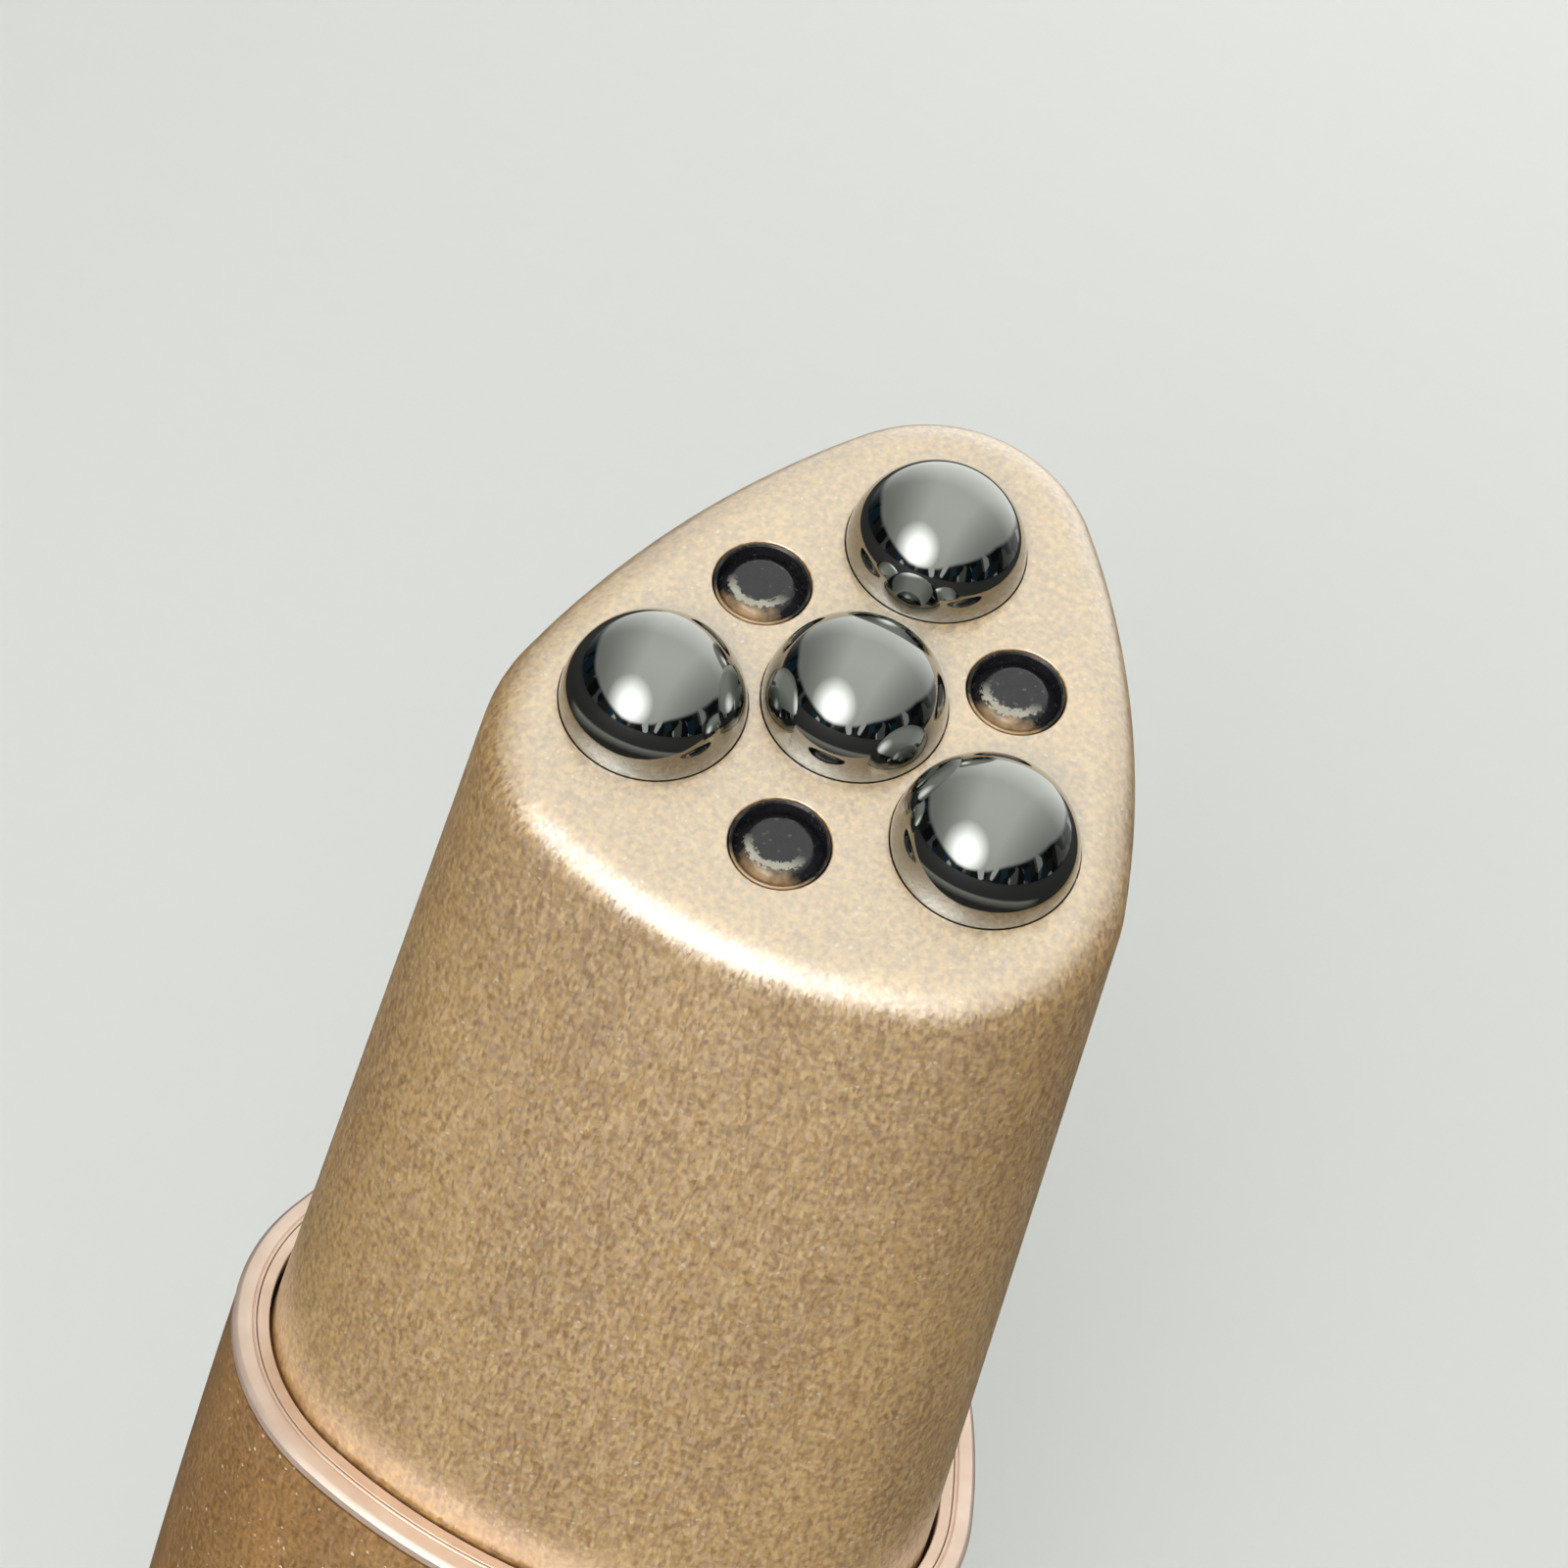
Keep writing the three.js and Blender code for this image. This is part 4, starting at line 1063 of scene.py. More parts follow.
class Wardrobe:
    """All finishes of the device."""

    paint = FlakePaint("champagne_paint", "gold_painted_plastic")
    sleeve = FlakePaint(
        "champagne_sleeve", "champagne_aluminium", ground=linear(182, 132, 66), shade=linear(132, 92, 42),
        index=3.5,
    )
    rose = BrushedMetal("rose_gold", "rose_gold_aluminium", metallic=0.6)
    lip = BrushedMetal(
        "rose_lip", "rose_plastic", ground=linear(246, 220, 200), shade=linear(226, 194, 172), roughness=0.38,
        metallic=0.6,
    )
    mirror = MirrorSteel("mirror_steel", "polished_steel")
    steel = BrushedMetal(
        "plain_steel", "plain_steel", ground=(0.42, 0.43, 0.44), shade=(0.3, 0.31, 0.32), roughness=0.34
    )
    brass = BrushedMetal(
        "contact_brass", "contact_brass", ground=linear(214, 178, 96), shade=linear(180, 142, 70)
    )
    clear = ClearPlastic("milky_clear", "clear_plastic")
    black = Moulded("black_plastic", "black_plastic")
    white = Moulded(
        "white_plastic", "white_plastic", ground=linear(228, 225, 219), shade=linear(210, 206, 198)
    )
    rubber = Moulded("black_rubber", "black_rubber", roughness=0.75, depth=0.01)
    wrap = Moulded(
        "cell_wrap", "battery_wrap", ground=linear(58, 108, 166), shade=linear(44, 86, 140),
        roughness=0.32, grain=0.6, depth=0.01, coat=0.5,
    )
    film = Moulded(
        "cable_film", "cable_film", ground=linear(190, 122, 48), shade=linear(160, 98, 34),
        roughness=0.36, coat=0.3,
    )
    board = CircuitBoard("circuit_board", "circuit_board")


def show(
    shape: Shape, name: str, finish: Finish, nodes: Sequence[str], body: Body = Body.HOUSING
) -> None:
    """Turn a shape into a finished piece of the device.

    Args:
        shape: the piece's shape.
        name: the piece's name.
        finish: what it wears.
        nodes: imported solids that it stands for.
        body: the moving body that it rides on.
    """
    piece = shape.mesh_object(name)
    piece.data.shade_smooth()
    piece.data.set_sharp_from_angle(angle=SHARP_TURN)
    shading = piece.modifiers.new("edge_shading", "WEIGHTED_NORMAL")
    shading.keep_sharp = True
    finish.dress(piece)
    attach(piece, body.value)
    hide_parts(*nodes)
    LOG.info("%s: %d faces for %s", name, len(piece.data.polygons), ", ".join(nodes))


def rounding(edge: float, steps: int) -> list[tuple[float, float]]:
    """Quarter round of an edge, from its wall to its top.

    Args:
        edge: its radius.
        steps: its facets.

    Returns:
        Points of (distance from the wall, depth under the top).
    """
    turns = [math.pi / 2 * step / steps for step in range(steps + 1)]
    return [(edge * (1 - math.cos(turn)), edge * (1 - math.sin(turn))) for turn in turns]


def round_mouth(radius: float, z: float, edge: float, steps: int) -> list[tuple[float, float]]:
    """Profile of a bore's rounded mouth, from its wall up and out to the surface.

    Args:
        radius: radius of the bore.
        z: height of the surface.
        edge: radius of the rounding.
        steps: facets of the rounding.

    Returns:
        Points of (radius, height).
    """
    return [(radius + inset, z - drop) for inset, drop in rounding(edge, steps)]


# Sub-assemblies


@dataclass
class Head:
    """Drafted head with its slanted face, domes and light windows."""

    section: Section = SECTION
    wall: float = 1.3
    face_wall: float = 2.0
    edge: float = 1.8
    sink: float = 1.0
    neck_radius: float = 7.21
    slip: float = 0.1
    overrun: float = 1.0
    edge_steps: int = 14
    inner_steps: int = 4
    seat_steps: int = 3
    mouth_steps: int = 8
    face_rings: int = 12
    turn_steps: int = 72
    seat_depth: float = 0.4
    seam: float = 0.03
    stem_radius: float = 1.1
    pin_length: float = 2.0
    rim_angle: float = math.radians(86)
    dome_rings: int = 36
    hole_radius: float = 1.63
    hole_round: float = 0.07
    side_light_gap: float = 0.65
    side_light_angle: float = math.radians(32)
    front_light_gap: float = 1.2
    recess: float = 0.55
    flange: float = 0.55
    lens_thickness: float = 0.5
    running_fit: float = 0.05
    board_depth: float = 6.5
    pillar_radius: float = 1.3
    pillar_gap: float = 0.2
    pillar_forward: float = 0.9
    screw_radius: float = 1.0
    column_wall: float = 0.9
    screw_rise: float = 5.3
    lens_top: float = -0.1
    lens_flat: float = 0.9
    lens_bend: float = 0.25
    lens_lean: float = math.radians(48)
    lens_rings: int = 30
    # The lens's rim rises up the bore to the face as a thin dark collar, which darkens the bore's wall as
    # painted shade.
    lens_rim: Profile = ((0.0, -0.03), (0.04, 0.0), (0.1, -0.06))
    shade_collar_wall: float = 0.12

    @property
    def dome_places(self) -> dict[str, tuple[float, float]]:
        """Places of the domes on the face."""
        side = self.section.side_dome
        return {
            "centre": (0, 0),
            "left": (-side.x, side.y),
            "right": (side.x, side.y),
            "back": (0, self.section.back_dome_y),
        }

    @property
    def light_places(self) -> dict[str, tuple[float, float]]:
        """Places of the light windows on the face."""
        reach = self.section.dome_radius + self.hole_radius + self.side_light_gap
        x, y = reach * math.cos(self.side_light_angle), reach * math.sin(self.side_light_angle)
        front = self.section.dome_radius + self.hole_radius + self.front_light_gap
        return {"left": (-x, y), "right": (x, y), "front": (0, -front)}

    def on_face(self, shape: Shape, place: tuple[float, float]) -> Shape:
        """A shape that stands on the face at a place."""
        return shape.shifted(*place).placed(self.section.on_face)

    def dome_bore(self) -> Shape:
        """Cutter for a dome's seat and stem."""
        seat = self.section.dome_radius + self.seam
        stem = self.stem_radius + self.slip
        profile = [
            (0, -self.face_wall - self.overrun),
            (stem, -self.face_wall - self.overrun),
            (stem, -self.seat_depth),
            (seat, -self.seat_depth),
            *round_mouth(seat, 0, self.seam / 4, self.seat_steps),
            (seat + self.seam / 4, self.overrun),
            (0, self.overrun),
        ]
        return Shape.turned(profile, self.turn_steps)

    def light_bore(self) -> Shape:
        """Cutter for a light's rounded mouth, its bore and the wider well behind the window."""
        seat = -self.recess - self.lens_thickness
        well = self.hole_radius + self.flange
        profile = [
            (0, -self.board_depth),
            (well, -self.board_depth),
            (well, seat),
            (self.hole_radius, seat),
            *round_mouth(self.hole_radius, 0, self.hole_round, self.mouth_steps),
            (self.hole_radius + self.hole_round, self.overrun),
            (0, self.overrun),
        ]
        return Shape.turned(profile, self.turn_steps)

    def shell(self) -> None:
        """Build the painted shell with its bores, screw columns and board pillars."""
        section = self.section
        neck_z = level("head_shell", top=False)
        step_z = section.collar_z - self.sink
        form = section.head_form(0, 0, self.edge, step_z, self.edge_steps)
        neck = [section.ring(self.neck_radius, neck_z), section.ring(self.neck_radius, step_z)]
        outer = Shape.skin([*neck, *form, *closing(form[-1], self.face_rings)])
        inside = self.neck_radius - self.wall
        floor = step_z + self.wall
        form = section.head_form(self.wall, self.face_wall, self.edge / 2, floor, self.inner_steps)
        throat = [section.ring(inside, neck_z - self.overrun), section.ring(inside, floor)]
        cavity = Shape.skin([*throat, *form, *closing(form[-1], self.face_rings)])
        column_x = section.corners[1].x + inside / math.sqrt(2)
        corner_y = section.corners[1].y - section.middle_y
        column_top = neck_z + self.screw_rise + self.column_wall
        columns = [
            Shape.rod(self.screw_radius + self.column_wall, neck_z - 2 * self.overrun, column_top)
            .shifted(side.sign * column_x, corner_y)
            for side in Side
        ]
        pillar_x = self.hole_radius + self.flange + self.pillar_gap + self.pillar_radius
        pillar_y = self.light_places["front"][1] - self.pillar_forward
        pillars = [
            self.on_face(
                Shape.rod(self.pillar_radius, self.slip - self.board_depth, -self.face_wall / 2),
                (side.sign * pillar_x, pillar_y),
            )
            for side in Side
        ]
        hollow = cavity.combined(Shape.group(*columns, *pillars), Blend.CUT)
        bores = [self.on_face(self.dome_bore(), place) for place in self.dome_places.values()]
        bores += [self.on_face(self.light_bore(), place) for place in self.light_places.values()]
        bores += [
            Shape.rod(self.screw_radius + self.slip, neck_z - self.overrun, neck_z + self.screw_rise)
            .shifted(side.sign * column_x, corner_y)
            for side in Side
        ]
        shell = outer.combined(hollow, Blend.CUT).combined(Shape.group(*bores), Blend.CUT)
        show(shell, "painted_head", Wardrobe.paint, ["head_shell"])

    def domes(self) -> None:
        """Build the four polished domes with their stems."""
        section = self.section
        radius = section.dome_radius / math.sin(self.rim_angle)
        centre = -radius * math.cos(self.rim_angle)
        cap = []
        for ring in range(self.dome_rings):
            turn = self.rim_angle * (1 - ring / self.dome_rings)
            cap.append((radius * math.sin(turn), centre + radius * math.cos(turn)))
        foot = self.slip - self.seat_depth
        stem = self.slip - self.board_depth + self.pin_length
        profile = [
            (0, stem),
            (self.stem_radius, stem),
            (self.stem_radius, foot),
            (section.dome_radius - self.seam / 2, foot),
            (section.dome_radius, foot + self.seam / 2),
            *cap,
            (0, centre + radius),
        ]
        for name, place in self.dome_places.items():
            shape = self.on_face(Shape.turned(profile, 2 * self.turn_steps), place)
            node = f"electrode_dome_{name}"
            show(shape, f"polished_dome_{name}", Wardrobe.mirror, [node])

    def windows(self) -> None:
        """Build the three smoked lenses, each with a thin dark collar that lines its bore as painted shade.
        """
        radius = self.hole_radius - self.running_fit
        seat = -self.recess - self.lens_thickness
        bottom = seat - self.slip - self.flange
        crown = [(0.0, self.lens_top)]
        for step in range(1, self.lens_rings + 1):
            reach = (radius - self.shade_collar_wall) * step / self.lens_rings
            lean = self.lens_lean * min(1, max(0, (reach - self.lens_flat) / self.lens_bend))
            last_reach, last_z = crown[-1]
            crown.append((reach, last_z - (reach - last_reach) * math.tan(lean)))
        profile = [
            (0, bottom),
            (radius + self.flange, bottom),
            (radius + self.flange, seat - self.slip),
            (radius, seat - self.slip),
            *[(radius - inset, z) for inset, z in self.lens_rim],
            *reversed(crown),
        ]
        turn = self.section.on_face
        downhill = tuple(turn.to_3x3() @ Vector((0, -1, 0)))
        for name, place in self.light_places.items():
            shape = self.on_face(Shape.turned(profile, self.turn_steps), place)
            centre = tuple(turn @ Vector((*place, 0)))
            lens = SmokedLens(f"smoked_lens_{name}", "smoked_plastic", centre, downhill)
            show(shape, f"smoked_window_{name}", lens, [f"light_window_{name}"])

    def build(self) -> None:
        """Build the head."""
        self.shell()
        self.domes()
        self.windows()


@dataclass
class Handle:
    """Bellied sleeve between two trim rings, over a chassis, with a foot that holds the inlet."""

    section: Section = SECTION
    slip: float = 0.1
    overrun: float = 1.0
    head_gap: float = 0.27
    lip_width: float = 0.27
    ring_width: float = 0.84
    ring_height: float = 0.5
    ring_chamfer: float = 0.17
    ring_round: float = 0.03
    chamfer_round: float = 0.02
    groove_inset: float = 0.13
    groove_half: float = 0.05
    skirt_wall: float = 0.3
    skirt_depth: float = 2.5
    belly: float = 1.5
    belly_steps: int = 30
    button_below_collar: float = 32.0
    bezel_radius: float = 6.05
    light_radius: float = 0.6
    lip_grow: float = 0.1
    lip_lap: float = 0.07
    lip_step: float = 0.4
    lip_bevel: float = 0.3
    end_rings: int = 5
    bore_steps: int = 72
    bay_steps: int = 64
    bar_width: float = 2.4
    bulkhead: float = 1.6
    chassis_wall: float = 1.3
    cradles: int = 3
    battery_nub: float = 1.0
    column_radius: float = 1.9
    screw_radius: float = 1.0
    inlet_clearance: float = 0.2
    strip_width: float = 5.0
    strip_thickness: float = 0.3

    @cached_property
    def lip_inner(self) -> float:
        """Corner radius of the opening that the head stands in."""
        return self.section.head_radius(self.section.collar_z) + self.head_gap

    @cached_property
    def lip_outer(self) -> float:
        """Corner radius of the chassis."""
        return self.lip_inner + self.lip_width

    @cached_property
    def ring_inner(self) -> float:
        """Corner radius of the trim rings' opening."""
        return self.lip_outer + self.slip

    @cached_property
    def ring_outer(self) -> float:
        """Corner radius of the trim rings' outer wall."""
        return self.ring_inner + self.ring_width

    @cached_property
    def button_z(self) -> float:
        """Height of the button."""
        return self.section.collar_z - self.button_below_collar

    @cached_property
    def sleeve_span(self) -> tuple[float, float]:
        """Heights of the sleeve's ends."""
        return span("sleeve")

    def sleeve_radius(self, z: float) -> float:
        """Corner radius of the sleeve at a height.

        Args:
            z: the height.

        Returns:
            The corner radius.
        """
        low, high = self.sleeve_span
        share = (z - low) / (high - low)
        return self.ring_outer + self.belly * 4 * share * (1 - share)

    def front_depth(self, x: float, radius: float) -> float:
        """Distance of a front wall from the face's middle plane.

        Args:
            x: place across the front.
            radius: corner radius of the wall.

        Returns:
            The distance towards the front.
        """
        centre, arc, _, _ = self.section.side(0)
        return math.sqrt((arc + radius) ** 2 - x**2) - centre.y

    def over_sleeve(self, z: float, growth: float) -> Depth:
        """Front surface that stands a little over the sleeve, seen from a height on it.

        Args:
            z: height that its own places start from.
            growth: how far it stands over the sleeve.

        Returns:
            Its depth as a function of the places across and up.
        """
        return lambda x, y: self.front_depth(x, self.sleeve_radius(z + y) + growth)

    def ring_profile(self) -> list[tuple[float, float]]:
        """Profile of a trim ring, with its top at height 0."""
        skirt = self.ring_inner + self.skirt_wall
        outer, chamfer, soft, edge = self.ring_outer, self.ring_chamfer, self.chamfer_round, self.ring_round
        groove, half = self.ring_inner + self.groove_inset, self.groove_half
        return [
            (self.ring_inner, -self.skirt_depth),
            (skirt, -self.skirt_depth),
            (skirt, -self.ring_height),
            (outer - edge, -self.ring_height),
            (outer, -self.ring_height + edge),
            (outer, -chamfer - soft),
            (outer - soft, -chamfer + soft / 2),
            (outer - chamfer + soft / 2, -soft),
            (outer - chamfer - edge, 0),
            (groove + half, 0),
            (groove, -half),
            (groove - half, 0),
            (self.ring_inner + edge, 0),
            (self.ring_inner, -edge),
        ]

    def rings(self) -> None:
        """Build the collar ring and the base ring."""
        top = self.section.collar_z
        bottom = level("base_ring", top=False)
        collar = self.section.sweep([(radius, top + z) for radius, z in self.ring_profile()])
        base = self.section.sweep([(radius, bottom - z) for radius, z in self.ring_profile()])
        show(collar, "rose_collar", Wardrobe.rose, ["collar_ring"])
        show(base, "rose_base_ring", Wardrobe.rose, ["base_ring"])

    def sleeve(self) -> None:
        """Build the bellied sleeve with the holes for the button and the level lights."""
        section = self.section
        low, high = self.sleeve_span
        rebate = self.ring_inner + self.skirt_wall + self.slip
        skirt = self.skirt_depth - self.ring_height + self.slip
        outer = []
        for step in range(self.belly_steps + 1):
            z = low + (high - low) * step / self.belly_steps
            outer.append(section.ring(self.sleeve_radius(z), z))
        bore = [
            section.ring(rebate, high),
            section.ring(rebate, high - skirt),
            section.ring(self.ring_inner, high - skirt),
            section.ring(self.ring_inner, low + skirt),
            section.ring(rebate, low + skirt),
            section.ring(rebate, low),
        ]
        wall = Shape.skin([*outer, *bore], closed=True)
        reach = 3 * self.ring_outer
        hole = Shape.rod(self.bezel_radius + self.slip, 0, reach, self.bore_steps)
        hole = hole.placed(section.to_front(self.button_z))
        pins = [
            Shape.rod(self.light_radius + self.slip, 0, reach).placed(section.to_front(z))
            for z in self.light_levels
        ]
        cut = wall.combined(Shape.group(hole, *pins), Blend.CUT)
        show(cut, "painted_sleeve", Wardrobe.sleeve, ["sleeve"])

    @cached_property
    def light_levels(self) -> list[float]:
        """Heights of the level lights, from their pins' solid."""
        low, high = span("indicator_guide")
        middle = (low + high) / 2
        pitch = (high - low - self.bar_width) / 2
        return [middle - pitch, middle, middle + pitch]

    def chassis_cup(self) -> Shape:
        """Closed-bottomed tube with the lip that the head stands in."""
        section = self.section
        low, high = span("chassis")
        shoulder = level("neck_gasket", top=False) - self.slip
        inner, edge = self.lip_outer - self.chassis_wall, self.ring_round
        lip_in, lip_out = self.lip_inner - self.lip_grow, self.lip_outer + self.lip_lap
        step, bevel = high - self.lip_step, high - self.lip_bevel
        floor = section.ring(inner, low + self.bulkhead)
        foot = section.ring(self.lip_outer, low)
        walls = [
            (inner, shoulder),
            (self.lip_inner, shoulder),
            (self.lip_inner, step),
            (lip_in, bevel),
            (lip_in, high - edge),
            (lip_in + edge, high),
            (lip_out - edge, high),
            (lip_out, high - edge),
            (lip_out, bevel),
            (self.lip_outer, step),
        ]
        rings = [section.ring(radius, z) for radius, z in walls]
        ends = self.end_rings
        return Shape.skin([*reversed(closing(floor, ends)), floor, *rings, foot, *closing(foot, ends)])

    def chassis(self) -> None:
        """Build the chassis: the lipped tube, its bulkheads and screw columns, and the bays cut into them."""
        section, slip, over = self.section, self.slip, self.overrun
        low = level("chassis", top=False)
        battery_low, battery_top = span("battery")
        motor_low, motor_top = span("motor_can")
        upper = motor_top - self.bulkhead
        last_cradle = battery_top - self.battery_nub - self.bulkhead
        reach = last_cradle - battery_low
        cradles = [battery_low + reach * (i + 0.5) / self.cradles for i in range(self.cradles)]
        cell_top = battery_top + slip
        levels = (battery_low - slip - self.bulkhead, *cradles, cell_top, motor_low, upper)
        plates = [
            section.prism(self.lip_outer - self.chassis_wall / 2, z, z + self.bulkhead) for z in levels
        ]
        screw, head_screw = middle("base_screw_right"), middle("head_screw_right")
        screw_top, bore = level("base_screw_right", top=True), self.screw_radius + slip
        columns, base_holes, head_holes = [], [], []
        for side in Side:
            x = side.sign * screw.x
            column = Shape.rod(self.column_radius, low + self.bulkhead / 2, screw_top + self.bulkhead)
            columns.append(column.shifted(x, screw.y))
            base_holes.append(Shape.rod(bore, low - over, screw_top + slip).shifted(x, screw.y))
            hole = Shape.rod(bore, upper - over, motor_top + over)
            head_holes.append(hole.shifted(side.sign * head_screw.x, head_screw.y))
        board_low, board_high = (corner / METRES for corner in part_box("main_board"))
        back, front = board_high.y + slip, board_low.y - slip
        wide, deep = 2 * self.ring_outer, -2 * self.ring_outer
        window_top = self.light_levels[-1] + self.bar_width / 2 + self.bulkhead
        window = Shape.block((-wide, deep, low + self.bulkhead), (wide, back, window_top))
        sill = low + self.bulkhead + over
        slot = Shape.block((board_low.x - slip, front, low - over), (board_high.x + slip, back, sill))
        inlet_low, inlet_high = (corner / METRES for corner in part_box("usb_shell"))
        gap = self.inlet_clearance
        notch = Shape.block(
            (inlet_low.x - gap, inlet_low.y - gap, low - 2 * over),
            (inlet_high.x + gap, back - slip, sill + over),
        )
        strip = board_low.y - slip - self.strip_thickness
        strip_slot = Shape.block(
            (-self.strip_width / 2 - slip, strip - self.strip_thickness, motor_low - over),
            (self.strip_width / 2 + slip, strip + self.strip_thickness, motor_top + over),
        )
        cell, motor = middle("battery"), middle("motor_boot")
        cell_radius = cell.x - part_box("battery")[0].x / METRES + slip
        motor_radius = motor.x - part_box("motor_boot")[0].x / METRES + slip
        battery_bay = Shape.rod(cell_radius, battery_low - slip, cell_top, self.bay_steps)
        motor_bay = Shape.rod(motor_radius, motor_low - over, motor_top + slip, self.bay_steps)
        bays = [window, battery_bay.shifted(cell.x, cell.y), motor_bay.shifted(motor.x, motor.y)]
        solid = self.chassis_cup().combined(Shape.group(*plates), Blend.ADD)
        solid = solid.combined(Shape.group(*columns), Blend.ADD)
        solid = solid.combined(Shape.group(*bays, *head_holes, *base_holes), Blend.CUT)
        solid = solid.combined(Shape.group(slot, strip_slot), Blend.CUT).combined(notch, Blend.CUT)
        show(solid, "chassis_tray", Wardrobe.lip, ["chassis"])

    def build(self) -> None:
        """Build the handle."""
        self.rings()
        self.sleeve()
        self.chassis()


def flat(depth: float) -> Depth:
    """A flat surface at a depth."""
    return lambda x, y: depth


def sunk(surface: Depth, drop: float) -> Depth:
    """A surface that lies under another one."""
    return lambda x, y: surface(x, y) - drop


@dataclass
class Controls:
    """Power button in its trim ring, under three level lights on one bar."""

    handle: Handle = field(default_factory=Handle)
    button_radius: float = 5.0
    button_proud: float = 0.49
    button_lip: float = 0.75
    button_edge: float = 0.4
    edge_steps: int = 8
    dish: float = 0.25
    dish_rings: int = 14
    dish_slope: float = 1.6
    post_radius: float = 1.6
    post_chamfer: float = 0.15
    gap: float = 0.15
    bezel_proud: float = 0.25
    bezel_flange: float = 0.9
    bezel_rim: Profile = ((0.16, 0.0), (0.08, 0.02), (0.02, 0.08), (0.0, 0.16))
    flange_thickness: float = 0.5
    bar_thickness: float = 0.9
    bar_corner: float = 0.5
    corner_steps: int = 6
    pin_steps: int = 32
    pin_root: float = 0.3
    pin_rim: Profile = ((0.0, 0.1), (0.04, 0.03), (0.12, 0.005))
    steps: int = 96

    @cached_property
    def bezel_back(self) -> float:
        """Depth of the trim ring's flange behind the sleeve."""
        handle = self.handle
        _, arc, _, _ = handle.section.side(0)
        wall = arc + handle.ring_inner
        sag = wall - math.sqrt(wall**2 - (handle.bezel_radius + self.bezel_flange) ** 2)
        return handle.ring_inner - handle.section.front_y - sag - handle.slip - self.flange_thickness

    def button(self) -> None:
        """Build the button with a rounded rim, a shallow dish, its lip and its post."""
        handle = self.handle
        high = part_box("power_button")[1].y / METRES
        post = -high - handle.section.middle_y
        lip_top = self.bezel_back - handle.slip
        lip_low = lip_top - self.button_lip
        top = handle.over_sleeve(handle.button_z, self.button_proud)
        profile = [
            (0, flat(post)),
            (self.post_radius - self.post_chamfer, flat(post)),
            (self.post_radius, flat(post + self.post_chamfer)),
            (self.post_radius, flat(lip_low)),
            (self.button_radius + self.button_lip, flat(lip_low)),
            (self.button_radius + self.button_lip, flat(lip_top)),
            (self.button_radius, flat(lip_top)),
        ]
        rim = rounding(self.button_edge, self.edge_steps)
        profile += [(self.button_radius - inset, sunk(top, drop)) for inset, drop in rim]
        shoulder = self.button_radius - self.button_edge
        for step in range(1, self.dish_rings + 1):
            share = step / self.dish_rings
            drop = self.dish * (0.5 - 0.5 * math.cos(math.pi * min(1.0, self.dish_slope * share)))
            profile.append((shoulder * (1 - share), sunk(top, drop)))
        cap = Shape.turned_on(profile, self.steps).placed(handle.section.to_front(handle.button_z))
        show(cap, "painted_button", Wardrobe.paint, ["power_button"], Body.BUTTON)

    def behind_sleeve(self, x: float, y: float) -> float:
        """Depth of the sleeve's straight inner wall across the front."""
        return self.handle.front_depth(x, self.handle.ring_inner - self.handle.slip)

    def bezel(self) -> None:
        """Build the trim ring with its flange behind the sleeve."""
        handle = self.handle
        inner, outer = self.button_radius + self.gap, handle.bezel_radius
        reach = outer + self.bezel_flange
        top = handle.over_sleeve(handle.button_z, self.bezel_proud)
        profile = [
            (inner, flat(self.bezel_back)),
            (reach, flat(self.bezel_back)),
            (reach, self.behind_sleeve),
            (outer, self.behind_sleeve),
            *[(outer - inset, sunk(top, drop)) for inset, drop in reversed(self.bezel_rim)],
            *[(inner + inset, sunk(top, drop)) for inset, drop in self.bezel_rim],
        ]
        ring = Shape.turned_on(profile, self.steps, closed=True)
        ring = ring.placed(handle.section.to_front(handle.button_z))
        show(ring, "rose_bezel", Wardrobe.rose, ["button_bezel"])

    def level_lights(self) -> None:
        """Build the three light pins on their bar."""
        handle = self.handle
        back = -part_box("indicator_guide")[1].y / METRES - handle.section.middle_y
        front = back + self.bar_thickness
        levels = handle.light_levels
        height = levels[-1] - levels[0] + handle.bar_width
        half, corner = handle.bar_width / 2, self.bar_corner
        outline = []
        for x, y, start in ((1, 1, 0), (-1, 1, 1), (-1, -1, 2), (1, -1, 3)):
            for step in range(self.corner_steps + 1):
                turn = math.pi / 2 * (start + step / self.corner_steps)
                outline.append((x * (half - corner) + corner * math.cos(turn),
                                y * (height / 2 - corner) + corner * math.sin(turn)))
        bar = Shape.upright(outline, back, front)
        lights = bar.placed(handle.section.to_front((levels[0] + levels[-1]) / 2))
        radius = handle.light_radius
        pins = []
        for z in levels:
            top = handle.over_sleeve(z, 0)
            profile = [
                (0, flat(front - self.pin_root)),
                (radius, flat(front - self.pin_root)),
                *[(radius - inset, sunk(top, drop)) for inset, drop in self.pin_rim],
                (radius / 2, top),
                (0, top),
            ]
            pins.append(Shape.turned_on(profile, self.pin_steps).placed(handle.section.to_front(z)))
        lights = lights.combined(Shape.group(*pins), Blend.ADD)
        show(lights, "level_light_pins", Wardrobe.clear, ["indicator_guide"])

    def build(self) -> None:
        """Build the button, its trim ring and the level lights."""
        self.button()
        self.bezel()
        self.level_lights()


